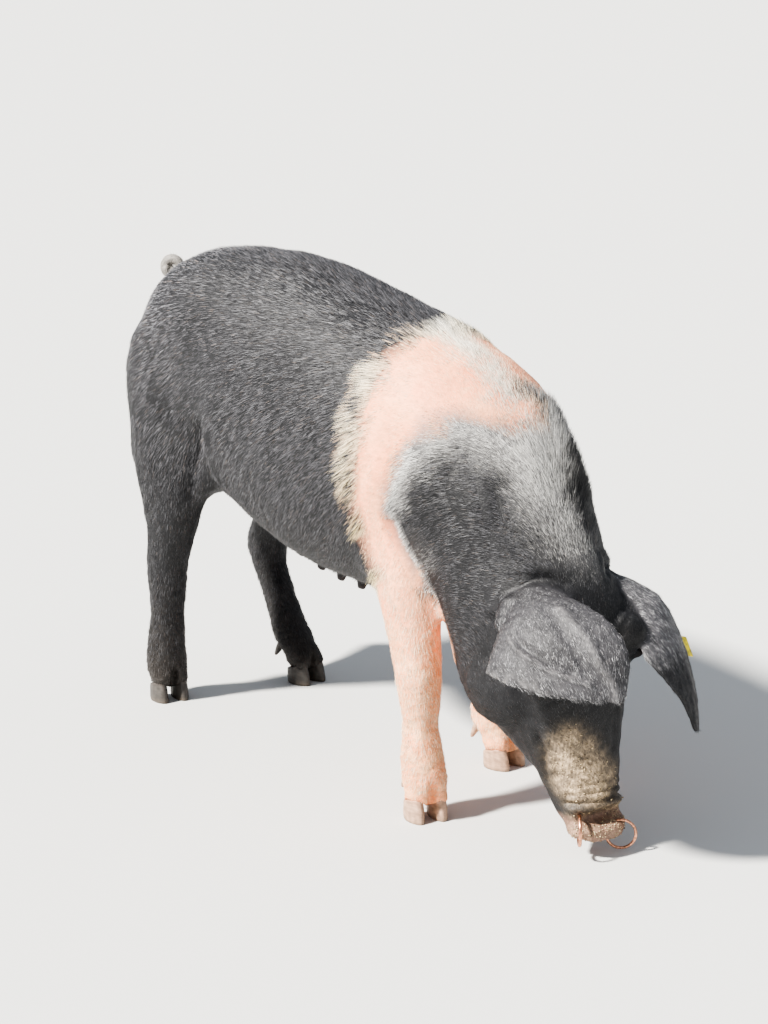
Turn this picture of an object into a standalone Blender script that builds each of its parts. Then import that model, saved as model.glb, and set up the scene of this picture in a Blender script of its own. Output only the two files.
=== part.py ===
"""A grazing domestic pig, life size: a lop-eared saddle-marked young sow standing square
with her head down. Metres, +X is the way she faces, +Y her left, +Z up. The origin is on
the floor under the middle of her box."""

import math

import bmesh
import bpy
import numpy as np
from mathutils import Matrix, Vector
from mathutils.bvhtree import BVHTree

# Driving dimensions
RUMP_HEIGHT = 0.862
GAP = 0.0003
RING = 40
CLAY_VOXEL = 0.006
SIDES = ((1, "left"), (-1, "right"))
CLAY_SMOOTHING = 6
FLESH_TRIANGLES = 5600
HEAD_DETAIL = 0.44
FOOT_DETAIL = 0.70

# The trunk, neck and head are one loft of sections, each from a point on the top line to one
# on the belly, throat or jaw line: top x, top z, bottom x, bottom z, half width, how far up
# the widest place is, and the squareness of the upper and lower halves.
TRUNK = (
    (-0.506, 0.722, -0.508, 0.640, 0.040, 0.50, 2.0, 2.0),
    (-0.492, 0.772, -0.496, 0.560, 0.098, 0.50, 2.2, 2.2),
    (-0.438, 0.824, -0.440, 0.462, 0.144, 0.56, 2.3, 2.2),
    (-0.350, 0.853, -0.345, 0.432, 0.166, 0.58, 2.4, 2.2),
    (-0.220, RUMP_HEIGHT, -0.225, 0.396, 0.175, 0.54, 2.4, 2.3),
    (-0.090, 0.860, -0.085, 0.352, 0.186, 0.48, 2.3, 2.3),
    (0.050, 0.837, 0.050, 0.328, 0.191, 0.46, 2.3, 2.3),
    (0.180, 0.812, 0.190, 0.322, 0.184, 0.47, 2.3, 2.2),
    (0.300, 0.788, 0.305, 0.326, 0.174, 0.50, 2.1, 2.1),
    (0.400, 0.752, 0.385, 0.332, 0.162, 0.52, 2.1, 2.1),
    (0.478, 0.698, 0.416, 0.310, 0.148, 0.52, 2.1, 2.2),
    (0.545, 0.630, 0.424, 0.272, 0.138, 0.50, 2.1, 2.4),
    (0.598, 0.556, 0.434, 0.236, 0.132, 0.46, 2.1, 2.5),
    (0.646, 0.478, 0.452, 0.205, 0.125, 0.42, 2.2, 2.5),
    (0.688, 0.402, 0.482, 0.180, 0.114, 0.42, 2.4, 2.4),
    (0.706, 0.330, 0.517, 0.158, 0.101, 0.42, 2.4, 2.2),
    (0.704, 0.262, 0.551, 0.137, 0.087, 0.45, 2.4, 2.2),
    (0.700, 0.200, 0.586, 0.114, 0.073, 0.50, 2.5, 2.2),
    (0.702, 0.148, 0.612, 0.088, 0.062, 0.52, 2.6, 2.2),
    (0.709, 0.106, 0.633, 0.062, 0.056, 0.52, 2.6, 2.3),
    (0.716, 0.082, 0.648, 0.044, 0.051, 0.52, 2.6, 2.3),
)

# Each limb is a loft of level sections: half length fore and aft, half width.
FORE_SIZES = (
    ("shoulder", 0.105, 0.062),
    ("arm", 0.088, 0.056),
    ("elbow", 0.068, 0.048),
    ("forearm", 0.050, 0.041),
    ("knee", 0.040, 0.038),
    ("cannon", 0.031, 0.031),
    ("fetlock", 0.038, 0.037),
    ("pastern", 0.036, 0.036),
)
HIND_SIZES = (
    ("rump", 0.108, 0.070),
    ("ham", 0.114, 0.072),
    ("thigh", 0.101, 0.062),
    ("gaskin", 0.077, 0.050),
    ("shin", 0.056, 0.042),
    ("hock", 0.043, 0.037),
    ("shank", 0.033, 0.033),
    ("fetlock", 0.038, 0.037),
    ("pastern", 0.038, 0.036),
)
# Where each limb's sections stand: x, y outward, z.
LIMBS = {
    "foreleg_right": (-1, FORE_SIZES, (
        (0.350, 0.085, 0.560), (0.345, 0.105, 0.470), (0.352, 0.118, 0.385), (0.378, 0.124, 0.300),
        (0.394, 0.125, 0.225), (0.397, 0.125, 0.160), (0.404, 0.125, 0.095), (0.412, 0.125, 0.055),
    )),
    "foreleg_left": (1, FORE_SIZES, (
        (0.345, 0.085, 0.560), (0.335, 0.105, 0.470), (0.322, 0.118, 0.385), (0.304, 0.125, 0.300),
        (0.284, 0.129, 0.225), (0.268, 0.132, 0.160), (0.262, 0.136, 0.095), (0.276, 0.139, 0.055),
    )),
    "hindleg_right": (-1, HIND_SIZES, (
        (-0.370, 0.075, 0.680), (-0.372, 0.108, 0.580), (-0.366, 0.124, 0.480), (-0.354, 0.131, 0.395),
        (-0.360, 0.133, 0.325), (-0.376, 0.133, 0.250), (-0.378, 0.133, 0.170), (-0.385, 0.133, 0.090),
        (-0.384, 0.133, 0.050),
    )),
    "hindleg_left": (1, HIND_SIZES, (
        (-0.370, 0.075, 0.680), (-0.372, 0.108, 0.580), (-0.362, 0.124, 0.480), (-0.360, 0.131, 0.395),
        (-0.395, 0.133, 0.325), (-0.440, 0.133, 0.250), (-0.402, 0.133, 0.170), (-0.352, 0.133, 0.090),
        (-0.322, 0.133, 0.050),
    )),
}
# The points of the hocks
HEELS = ((-0.412, -0.133, 0.262), (-0.478, 0.133, 0.262))
# Where the limbs are parted from the trunk: y outward and z, then the reach along X.
HIND_PARTING = ((GAP / 2, -0.1), (0.30, -0.1), (0.30, 0.500), (GAP / 2, 0.470))
HIND_REACH = (-0.60, -0.19)
FORE_PARTING = ((0.070, -0.1), (0.40, -0.1), (0.40, 0.620), (0.070, 0.335))
FORE_REACH = (0.235, 0.46)
THROAT_BOX = ((0.432, -0.4, 0.245), (0.60, 0.4, 0.70))
# Feet: middle of the sole, and how far the toes turn out, in degrees.
FEET = {
    "foreleg_right": (0.412, -0.125, -14.0),
    "foreleg_left": (0.290, 0.140, 8.0),
    "hindleg_right": (-0.378, -0.133, -10.0),
    "hindleg_left": (-0.314, 0.138, 8.0),
}
CLAW_LENGTH = 0.064
CLAW_WIDTH = 0.034
CLAW_HEIGHT = 0.040
CLAW_SPREAD = 0.0195
CORONET_HEIGHT = 0.034
TOE_RADIUS = 0.0180
DEWCLAW_LENGTH = 0.030
DEWCLAW_RADIUS = 0.0095
DEWCLAW_HEIGHT = 0.070

# The snout's disc
DISC_CENTRE = (0.692, 0.0, 0.045)
DISC_HALF_WIDTH = 0.053
DISC_HALF_HEIGHT = 0.038
DISC_THICKNESS = 0.024
DISC_LEAN = 8.0
NOSTRIL_RADIUS = 0.0085
NOSTRIL_SPREAD = 0.019
NOSTRIL_DEPTH = 0.022

# The eyes: which way to look for each from the middle of the head
EYE_RADIUS = 0.0135
EYE_LEVEL = 0.318
EYE_X = 0.688
EYE_SINK = 0.0085
LID_THICKNESS = 0.0045
LID_OPENING = 0.0075

# The mouth line on the side of the muzzle, x and z
MOUTH_LINE = ((0.672, 0.064), (0.655, 0.084), (0.640, 0.108), (0.634, 0.136), (0.640, 0.162))
MOUTH_GROOVE = 0.0030
LIP_RADIUS = 0.0070
LIP_SPREAD = 0.0062

# Ears: a centre line from the sunk root to the tip with y outward, then how far the leaf reaches
# in front of the line and behind it, and its curl in degrees.
EAR_THICKNESS = 0.0065
EAR_COLUMNS = 9
EAR_ROWS = 10
RIGHT_EAR = (
    ((0.600, 0.068, 0.438), 0.040, 0.045, 190.0),
    ((0.694, 0.108, 0.424), 0.064, 0.151, 118.0),
    ((0.754, 0.119, 0.389), 0.072, 0.116, 66.0),
    ((0.797, 0.103, 0.350), 0.068, 0.067, 46.0),
    ((0.815, 0.087, 0.324), 0.046, 0.037, 38.0),
    ((0.826, 0.074, 0.302), 0.010, 0.008, 34.0),
)
LEFT_EAR = (
    ((0.634, 0.070, 0.430), 0.040, 0.045, 190.0),
    ((0.684, 0.120, 0.386), 0.070, 0.104, 118.0),
    ((0.706, 0.144, 0.330), 0.088, 0.098, 76.0),
    ((0.728, 0.155, 0.270), 0.062, 0.060, 54.0),
    ((0.744, 0.155, 0.228), 0.034, 0.030, 44.0),
    ((0.758, 0.150, 0.188), 0.008, 0.008, 40.0),
)
# Which way each ear's outer face looks, y outward.
RIGHT_EAR_FACE = (0.80, 0.42, 0.44)
LEFT_EAR_FACE = (0.84, 0.52, 0.12)

# The tail: a small upright curl, turned towards her right
TAIL_ROOT = (-0.496, 0.0, 0.768)
TAIL_RADIUS = 0.0125
TAIL_TIP_RADIUS = 0.0060
CURL_CENTRE = (-0.541, -0.005, 0.796)
CURL_RADIUS = 0.0145
CURL_TURN = 50.0
CURL_TURNS = 1.12
CURL_START = 215.0
CURL_STEP = 0.022

# Teats: pairs along the belly
TEAT_PAIRS = 6
TEAT_FIRST_X = -0.104
TEAT_STEP = 0.060
TEAT_OUT = 0.052
TEAT_RADIUS = 0.0055
TEAT_LENGTH = 0.012

# What she wears
NOSE_RING_RADIUS = 0.0235
NOSE_RING_WIRE = 0.0023
NOSE_RINGS = {
    "nose_ring_left": ((0.717, 0.031, 0.031), math.radians(53)),
    "nose_ring_right": ((0.705, -0.046, 0.050), math.radians(-36)),
}
TAG_ALONG = 0.46
TAG_ACROSS = 0.90
TAG_WIDTH = 0.018
TAG_LENGTH = 0.036
TAG_THICKNESS = 0.0022
TAG_STAND_OFF = 0.0068
TAG_SHIFT = -0.005
STUD_RADIUS = 0.0026


def clear_scene():
    for obj in list(bpy.data.objects):
        bpy.data.objects.remove(obj, do_unlink=True)


def collection(name, hidden=False):
    made = bpy.data.collections.new(name)
    made.hide_render = hidden
    bpy.context.scene.collection.children.link(made)
    return made


def material(name, colour, roughness, metallic=0.0):
    made = bpy.data.materials.new(name)
    made.use_nodes = True
    shader = made.node_tree.nodes["Principled BSDF"]
    shader.inputs["Base Color"].default_value = (*colour, 1.0)
    shader.inputs["Roughness"].default_value = roughness
    shader.inputs["Metallic"].default_value = metallic
    return made


def new_object(name, mesh, group):
    obj = bpy.data.objects.new(name, mesh)
    group.objects.link(obj)
    if group.hide_render:
        obj.display_type = "WIRE"
    return obj


def from_bmesh(name, shape, group):
    bmesh.ops.recalc_face_normals(shape, faces=shape.faces)
    mesh = bpy.data.meshes.new(name)
    shape.to_mesh(mesh)
    shape.free()
    return new_object(name, mesh, group)


def evaluated_mesh(obj):
    graph = bpy.context.evaluated_depsgraph_get()
    return bpy.data.meshes.new_from_object(obj.evaluated_get(graph))


def apply_modifiers(obj):
    bpy.context.view_layer.update()
    mesh = evaluated_mesh(obj)
    obj.modifiers.clear()
    old = obj.data
    obj.data = mesh
    bpy.data.meshes.remove(old)


def keep_largest(obj):
    """Keeps the one closed surface with the most volume."""
    shape = bmesh.new()
    shape.from_mesh(obj.data)
    shape.faces.ensure_lookup_table()
    seen = set()
    groups = []
    for face in shape.faces:
        if face.index in seen:
            continue
        seen.add(face.index)
        stack = [face]
        found = []
        while stack:
            here = stack.pop()
            found.append(here)
            for edge in here.edges:
                for other in edge.link_faces:
                    if other.index not in seen:
                        seen.add(other.index)
                        stack.append(other)
        groups.append(found)
    if len(groups) > 1:
        size = [sum(face.calc_area() for face in found) for found in groups]
        best = size.index(max(size))
        extra = [face for i, found in enumerate(groups) if i != best for face in found]
        bmesh.ops.delete(shape, geom=extra, context="FACES")
        shape.to_mesh(obj.data)
    shape.free()


def boolean(obj, other, operation, solver="EXACT"):
    modifier = obj.modifiers.new("cut", "BOOLEAN")
    modifier.operation = operation
    modifier.solver = solver
    modifier.object = other
    apply_modifiers(obj)


def join_all(obj, others, group):
    """One union of the object with closed helper shapes, which are then removed."""
    helpers = collection("helpers", hidden=True)
    for other in others:
        group.objects.unlink(other)
        helpers.objects.link(other)
    modifier = obj.modifiers.new("join", "BOOLEAN")
    modifier.operation = "UNION"
    modifier.operand_type = "COLLECTION"
    modifier.collection = helpers
    modifier.solver = "EXACT"
    apply_modifiers(obj)
    for other in others:
        bpy.data.objects.remove(other, do_unlink=True)
    bpy.data.collections.remove(helpers)


def duplicate(obj, name, group):
    return new_object(name, obj.data.copy(), group)


def swollen(obj, distance, group):
    """A copy that stands off the surface by the given distance."""
    copy = duplicate(obj, obj.name + "_off", group)
    shape = bmesh.new()
    shape.from_mesh(copy.data)
    shape.normal_update()
    moves = [vertex.normal * distance * vertex.calc_shell_factor() for vertex in shape.verts]
    for vertex, move in zip(shape.verts, moves):
        vertex.co += move
    shape.to_mesh(copy.data)
    shape.free()
    return copy


def cut_clear(obj, others, cutters):
    """Cuts each of the others out of the object, with the gap that separate pieces keep."""
    for other in others:
        cutter = swollen(other, GAP, cutters)
        boolean(obj, cutter, "DIFFERENCE")
        bpy.data.objects.remove(cutter, do_unlink=True)
    keep_largest(obj)


def smooth_rows(rows, steps):
    """Rows of numbers with smooth rows put in between them."""
    rows = np.array(rows, dtype=float)
    out = []
    for i in range(len(rows) - 1):
        before = rows[max(i - 1, 0)]
        start = rows[i]
        end = rows[i + 1]
        after = rows[min(i + 2, len(rows) - 1)]
        for step in range(steps):
            t = step / steps
            curve = 2 * start + (end - before) * t
            curve += (2 * before - 5 * start + 4 * end - after) * t * t
            curve += (3 * start - before - 3 * end + after) * t ** 3
            out.append(curve / 2)
    out.append(rows[-1])
    return np.array(out)


def bent(value, power):
    return math.copysign(abs(value) ** (2.0 / power), value)


def trunk_ring(row):
    """One section of the trunk, neck or head."""
    top = Vector((row[0], 0, row[1]))
    bottom = Vector((row[2], 0, row[3]))
    width, widest, upper, lower = row[4:]
    middle = bottom.lerp(top, widest)
    ring = []
    for i in range(RING):
        angle = 2 * math.pi * i / RING
        side = math.cos(angle)
        rise = math.sin(angle)
        power = upper if rise > 0 else lower
        reach = top - middle if rise > 0 else middle - bottom
        ring.append(middle + Vector((0, width * bent(side, power), 0)) + reach * bent(rise, power))
    return ring


def level_ring(centre, half_length, half_width):
    """One level section of a limb."""
    power = 2.2
    ring = []
    for i in range(RING):
        angle = 2 * math.pi * i / RING
        along = half_length * bent(math.cos(angle), power)
        across = half_width * bent(math.sin(angle), power)
        ring.append(Vector(centre) + Vector((along, across, 0)))
    return ring


def loft(name, rings, group):
    """A closed skin over rings of equal count."""
    shape = bmesh.new()
    rows = [[shape.verts.new(point) for point in ring] for ring in rings]
    count = len(rows[0])
    for lower, upper in zip(rows, rows[1:]):
        for i in range(count):
            j = (i + 1) % count
            shape.faces.new((lower[i], lower[j], upper[j], upper[i]))
    shape.faces.new(rows[0][::-1])
    shape.faces.new(rows[-1])
    return from_bmesh(name, shape, group)


def blob(name, centre, radii, turn, group):
    """An ellipsoid, turned by degrees about Y."""
    shape = bmesh.new()
    bmesh.ops.create_uvsphere(shape, u_segments=20, v_segments=12, radius=1.0)
    turned = Matrix.Rotation(math.radians(turn), 4, "Y")
    place = Matrix.Translation(centre) @ turned @ Matrix.Diagonal((*radii, 1.0))
    bmesh.ops.transform(shape, matrix=place, verts=shape.verts)
    return from_bmesh(name, shape, group)


def prism(name, outline, low, high, group):
    """An outline of y and z points, drawn out along X from low to high."""
    shape = bmesh.new()
    face = shape.faces.new([shape.verts.new((low, y, z)) for y, z in outline])
    drawn = bmesh.ops.extrude_face_region(shape, geom=[face])
    moved = [item for item in drawn["geom"] if isinstance(item, bmesh.types.BMVert)]
    bmesh.ops.translate(shape, vec=(high - low, 0, 0), verts=moved)
    return from_bmesh(name, shape, group)


def box(name, low, high, group):
    """A box between two corners."""
    shape = bmesh.new()
    bmesh.ops.create_cube(shape, size=1.0)
    low = Vector(low)
    high = Vector(high)
    place = Matrix.Translation((low + high) / 2) @ Matrix.Diagonal((*(high - low), 1.0))
    bmesh.ops.transform(shape, matrix=place, verts=shape.verts)
    return from_bmesh(name, shape, group)


def half_space(name, point, normal, group, reach=1.2):
    """A large cube whose one face passes through the point and which lies beyond it."""
    shape = bmesh.new()
    bmesh.ops.create_cube(shape, size=reach)
    normal = Vector(normal).normalized()
    turn = normal.to_track_quat("Z", "Y").to_matrix().to_4x4()
    place = Matrix.Translation(Vector(point) + normal * reach / 2) @ turn
    bmesh.ops.transform(shape, matrix=place, verts=shape.verts)
    return from_bmesh(name, shape, group)


def tube(name, points, radii, group, sides=8):
    """A round tube through the points."""
    curve = bpy.data.curves.new(name, "CURVE")
    curve.dimensions = "3D"
    curve.bevel_depth = 1.0
    curve.bevel_resolution = sides // 4
    curve.use_fill_caps = True
    spline = curve.splines.new("POLY")
    spline.points.add(len(points) - 1)
    for i, (point, radius) in enumerate(zip(points, radii)):
        spline.points[i].co = (*point, 1.0)
        spline.points[i].radius = radius
    guide = new_object(name + "_guide", curve, group)
    bpy.context.view_layer.update()
    mesh = evaluated_mesh(guide)
    bpy.data.objects.remove(guide, do_unlink=True)
    shape = bmesh.new()
    shape.from_mesh(mesh)
    bpy.data.meshes.remove(mesh)
    bmesh.ops.remove_doubles(shape, verts=shape.verts, dist=0.00005)
    return from_bmesh(name, shape, group)


def trunk_clay(group):
    rings = [trunk_ring(row) for row in smooth_rows(TRUNK, 4)]
    return loft("trunk_clay", rings, group)


def limb_clay(name, group):
    side, sizes, places = LIMBS[name]
    rows = [(x, side * y, z, length, width) for (x, y, z), (_, length, width) in zip(places, sizes)]
    rings = [level_ring(row[:3], row[3], row[4]) for row in smooth_rows(rows, 4)]
    return loft(name + "_clay", rings, group)


def foot_frame(name):
    """The place of a foot's sole and the way its toes point."""
    x, y, turn = FEET[name]
    return Matrix.Translation((x, y, 0)) @ Matrix.Rotation(math.radians(turn), 4, "Z")


def toe_clay(name, group):
    """The two fleshy toes of a foot, from the pastern down to the tops of the claws."""
    frame = foot_frame(name)
    side, _, places = LIMBS[name]
    x, y, z = places[-1]
    start = Vector((x, side * y, z + 0.012))
    made = []
    for lean in (-1, 1):
        end = frame @ Vector((0.002, lean * CLAW_SPREAD, CORONET_HEIGHT - 0.006))
        middle = start.lerp(end, 0.55)
        rows = [(*start, 0.026, 0.024), (*middle, 0.026, 0.0185), (*end, 0.027, TOE_RADIUS)]
        rings = [level_ring(row[:3], row[3], row[4]) for row in smooth_rows(rows, 3)]
        made.append(loft(f"{name}_toe_clay", rings, group))
    return made


def muscle_clay(group):
    """The masses under the skin that lofts alone do not give."""
    made = []
    for side in (-1, 1):
        masses = (
            ((0.330, side * 0.105, 0.560), (0.125, 0.062, 0.165), 14),
            ((0.300, side * 0.108, 0.440), (0.085, 0.055, 0.085), -20),
            ((-0.392, side * 0.105, 0.610), (0.120, 0.072, 0.140), -8),
            ((-0.285, side * 0.118, 0.480), (0.070, 0.048, 0.090), 20),
            ((0.550, side * 0.088, 0.264), (0.080, 0.046, 0.070), 30),
            ((0.640, side * 0.076, 0.345), (0.060, 0.034, 0.065), 0),
            ((0.700, side * 0.058, 0.352), (0.022, 0.026, 0.032), 0),
        )
        for centre, radii, turn in masses:
            made.append(blob("muscle_clay", centre, radii, turn, group))
    for heel in HEELS:
        made.append(blob("heel_clay", heel, (0.020, 0.016, 0.030), 10, group))
    return made


def disc_clay(group):
    """The flat front of the snout, leaning back towards the chin."""
    shape = bmesh.new()
    bmesh.ops.create_cone(
        shape, cap_ends=True, segments=32, radius1=1.0, radius2=1.0, depth=DISC_THICKNESS
    )
    place = disc_frame() @ Matrix.Diagonal((DISC_HALF_HEIGHT, DISC_HALF_WIDTH, 1.0, 1.0))
    bmesh.ops.transform(shape, matrix=place, verts=shape.verts)
    return from_bmesh("disc_clay", shape, group)


def disc_frame():
    return Matrix.Translation(DISC_CENTRE) @ Matrix.Rotation(math.radians(DISC_LEAN), 4, "Y")


def make_clay(group):
    """Every fleshy form melted into one skin."""
    pieces = [trunk_clay(group)]
    for name in LIMBS:
        pieces.append(limb_clay(name, group))
        pieces += toe_clay(name, group)
    pieces += muscle_clay(group)
    pieces.append(disc_clay(group))
    shape = bmesh.new()
    for piece in pieces:
        shape.from_mesh(piece.data)
        bpy.data.objects.remove(piece, do_unlink=True)
    clay = from_bmesh("clay", shape, group)
    remesh = clay.modifiers.new("melt", "REMESH")
    remesh.mode = "VOXEL"
    remesh.voxel_size = CLAY_VOXEL
    smooth = clay.modifiers.new("smooth", "SMOOTH")
    smooth.factor = 0.6
    smooth.iterations = CLAY_SMOOTHING
    apply_modifiers(clay)
    keep_largest(clay)
    return clay


def thin_out(clay):
    """Fewer, larger facets, with the head and feet kept finer."""
    group = clay.vertex_groups.new(name="spare")
    for vertex in clay.data.vertices:
        x, _, z = vertex.co
        head = max(0.0, min(1.0, (x - 0.52) / 0.10)) if z < 0.55 else 0.0
        foot = max(0.0, min(1.0, (0.12 - z) / 0.05))
        group.add([vertex.index], 1.0 - max(HEAD_DETAIL * head, FOOT_DETAIL * foot), "REPLACE")
    decimate = clay.modifiers.new("thin", "DECIMATE")
    triangles = sum(len(polygon.vertices) - 2 for polygon in clay.data.polygons)
    decimate.ratio = FLESH_TRIANGLES / triangles
    decimate.vertex_group = "spare"
    decimate.vertex_group_factor = 0.5
    decimate.use_collapse_triangulate = True
    apply_modifiers(clay)
    clay.vertex_groups.clear()
    keep_largest(clay)


def take(body, name, region, group, cutters):
    """Parts off what lies in the region and leaves the rest, with a gap between them."""
    piece = duplicate(body, name, group)
    boolean(piece, region, "INTERSECT")
    keep_largest(piece)
    wider = swollen(region, GAP, cutters)
    boolean(body, wider, "DIFFERENCE")
    keep_largest(body)
    for cutter in (region, wider):
        bpy.data.objects.remove(cutter, do_unlink=True)
    return piece


def take_limb(body, name, side, outline, reach, group, cutters, spared=None):
    """Parts off a leg inside an outline of y and z, apart from what a spared box holds."""
    placed = [(side * y, z) for y, z in outline]
    region = prism("region", placed, *reach, cutters)
    if spared:
        kept = box("kept", *spared, cutters)
        boolean(region, kept, "DIFFERENCE")
        bpy.data.objects.remove(kept, do_unlink=True)
    return take(body, name, region, group, cutters)


def take_front(body, name, point, normal, group, cutters):
    region = half_space("region", point, normal, cutters)
    return take(body, name, region, group, cutters)


def surface_point(tree, start, direction):
    hit, normal, _, _ = tree.ray_cast(Vector(start), Vector(direction).normalized())
    if hit is None:
        raise ValueError(f"nothing of the body lies from {start} along {direction}")
    return hit, normal


def tree_of(obj):
    shape = bmesh.new()
    shape.from_mesh(obj.data)
    tree = BVHTree.FromBMesh(shape)
    shape.free()
    return tree


def make_claw(name, frame, lean, group):
    """One claw: a flat sole with a pointed toe, walls that lean in to a slanting top."""
    levels = (
        (0.0, 0.94, 0.96, 0.002),
        (0.004, 1.0, 1.0, 0.001),
        (0.5, 0.95, 0.98, -0.001),
        (1.0, 0.84, 0.90, -0.004),
    )
    rings = []
    count = 16
    for rise, length, width, shift in levels:
        ring = []
        for i in range(count):
            angle = 2 * math.pi * i / count
            ahead = math.cos(angle)
            across = math.sin(angle)
            point = 1.0 if ahead > 0 else 0.80
            narrow = 1.0 - 0.30 * max(ahead, 0.0) ** 2
            inner = 0.82 if across * lean < 0 else 1.0
            x = shift + CLAW_LENGTH / 2 * length * point * ahead
            y = lean * CLAW_SPREAD + CLAW_WIDTH / 2 * width * bent(across, 2.4) * narrow * inner
            top = CLAW_HEIGHT * (0.86 + 0.16 * ahead)
            z = top * rise
            ring.append(frame @ Vector((x, y, z)))
        rings.append(ring)
    return loft(name, rings, group)


def make_dewclaw(name, frame, lean, leg_tree, group):
    """A small blunt cone behind the foot, pointing down and back."""
    start = frame @ Vector((-0.095, lean * 0.020, DEWCLAW_HEIGHT))
    ahead = (frame.to_3x3() @ Vector((1, 0, 0))).normalized()
    hit, _ = surface_point(leg_tree, start, ahead)
    root = hit + ahead * 0.010
    axis = (frame.to_3x3() @ Vector((-0.42, lean * 0.16, -0.88))).normalized()
    side = axis.cross(Vector((0, 0, 1))).normalized()
    other = axis.cross(side).normalized()
    rings = []
    for along, radius in ((-0.25, 0.85), (0.1, 1.0), (0.55, 0.82), (0.9, 0.5), (1.0, 0.2)):
        ring = []
        for i in range(10):
            angle = 2 * math.pi * i / 10
            offset = side * math.cos(angle) + other * 0.8 * math.sin(angle)
            offset *= DEWCLAW_RADIUS * radius
            ring.append(root + axis * DEWCLAW_LENGTH * along + offset)
        rings.append(ring)
    return loft(name, rings, group)


def make_horn(name, leg, group):
    """The two claws and two dewclaws of one foot."""
    kind, label = name.split("leg_")
    tree = tree_of(leg)
    frame = foot_frame(name)
    made = []
    for lean, place in ((1, "a"), (-1, "b")):
        ending = f"claw_{kind}_{label}_{place}"
        made.append(make_claw(ending, frame, lean, group))
        made.append(make_dewclaw("dew" + ending, frame, lean, tree, group))
    return made


def ear_point(side, line, face, along, across):
    """A place on an ear: along 0 to 1 from root to tip, across -1 at the front edge to 1 behind."""
    stations = smooth_rows([(*place, *sizes) for place, *sizes in line], 6)
    where = along * (len(stations) - 1)
    low = min(int(where), len(stations) - 2)
    row = stations[low] + (stations[low + 1] - stations[low]) * (where - low)
    ahead = Vector(stations[min(low + 2, len(stations) - 1)][:3] - stations[max(low - 1, 0)][:3])
    ahead.normalize()
    face = Vector(face)
    outward = (face - ahead * face.dot(ahead)).normalized()
    backward = outward.cross(ahead).normalized()
    arc = row[4] if across > 0 else row[3]
    radius = (row[3] + row[4]) / math.radians(row[5])
    angle = arc * across / radius
    point = Vector(row[:3]) + backward * radius * math.sin(angle)
    point -= outward * radius * (1 - math.cos(angle))
    return Vector((point.x, side * point.y, point.z))


def make_ear(name, side, line, face, group):
    """A curled leaf of gristle from the root to the tip, cupped at the root."""
    shape = bmesh.new()
    bmesh.ops.create_grid(shape, x_segments=EAR_COLUMNS, y_segments=EAR_ROWS, size=0.5)
    for vertex in shape.verts:
        vertex.co = ear_point(side, line, face, vertex.co.y + 0.5, vertex.co.x * 2)
    leaf = from_bmesh(name, shape, group)
    wall = leaf.modifiers.new("wall", "SOLIDIFY")
    wall.thickness = EAR_THICKNESS
    wall.offset = 0.0
    wall.use_even_offset = True
    apply_modifiers(leaf)
    return leaf


def make_tail(group):
    """A short tail that rises from its root and closes in one upright curl."""
    root = Vector(TAIL_ROOT)
    heading = math.radians(CURL_TURN)
    across = Vector((math.cos(heading), math.sin(heading), 0))
    aside = Vector((math.sin(heading), -math.cos(heading), 0))
    points = [root + Vector((0.035, 0, -0.012)), root, root + Vector((-0.022, -0.004, 0.007))]
    steps = 24
    for i in range(steps + 1):
        share = i / steps
        angle = math.radians(CURL_START) - 2 * math.pi * CURL_TURNS * share
        spoke = across * math.cos(angle) + Vector((0, 0, math.sin(angle)))
        point = Vector(CURL_CENTRE) + spoke * CURL_RADIUS * (1 - 0.12 * share)
        points.append(point + aside * CURL_STEP * (share - 0.35))
    count = len(points)
    taper = TAIL_TIP_RADIUS - TAIL_RADIUS
    radii = [TAIL_RADIUS + taper * (i / (count - 1)) ** 0.8 for i in range(count)]
    radii[-1] *= 0.55
    return tube("tail", points, radii, group)


def make_eye(name, side, head_tree, group):
    """An eyeball sunk into the side of the head; gives its centre and the way it looks too."""
    start = Vector((EYE_X + 0.06, side * 0.30, EYE_LEVEL))
    aim = Vector((EYE_X - 0.03, side * 0.04, EYE_LEVEL))
    hit, _ = surface_point(head_tree, start, aim - start)
    inward = (aim - start).normalized()
    centre = hit + inward * EYE_SINK
    shape = bmesh.new()
    bmesh.ops.create_uvsphere(shape, u_segments=16, v_segments=10, radius=EYE_RADIUS)
    turn = (-inward).to_track_quat("Z", "Y").to_matrix().to_4x4()
    bmesh.ops.transform(shape, matrix=Matrix.Translation(centre) @ turn, verts=shape.verts)
    return from_bmesh(name, shape, group), centre, -inward


def add_lids(head, centre, outward, cutters):
    """A rounded rim round the eyeball with an almond opening in it."""
    shape = bmesh.new()
    bmesh.ops.create_uvsphere(shape, u_segments=18, v_segments=12, radius=EYE_RADIUS + LID_THICKNESS)
    bmesh.ops.transform(shape, matrix=Matrix.Translation(centre), verts=shape.verts)
    rim = from_bmesh("rim", shape, cutters)
    boolean(head, rim, "UNION")
    bpy.data.objects.remove(rim, do_unlink=True)
    along = Vector((0, 0, 1)).cross(outward).normalized()
    turn = Matrix((along, outward.cross(along).normalized(), outward)).transposed().to_4x4()
    shape = bmesh.new()
    bmesh.ops.create_cone(shape, cap_ends=True, segments=16, radius1=1.0, radius2=1.0, depth=0.03)
    place = Matrix.Translation(centre + outward * (EYE_RADIUS * 0.45 + 0.015)) @ turn
    almond = Matrix.Diagonal((EYE_RADIUS * 0.92, LID_OPENING, 1.0, 1.0))
    bmesh.ops.transform(shape, matrix=place @ almond, verts=shape.verts)
    opening = from_bmesh("opening", shape, cutters)
    boolean(head, opening, "DIFFERENCE")
    bpy.data.objects.remove(opening, do_unlink=True)


def mouth_points(tree, side):
    points = []
    for row in smooth_rows(MOUTH_LINE, 3):
        start = Vector((row[0], side * 0.25, row[1]))
        points.append(surface_point(tree, start, (0, -side, 0))[0])
    return points


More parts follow.
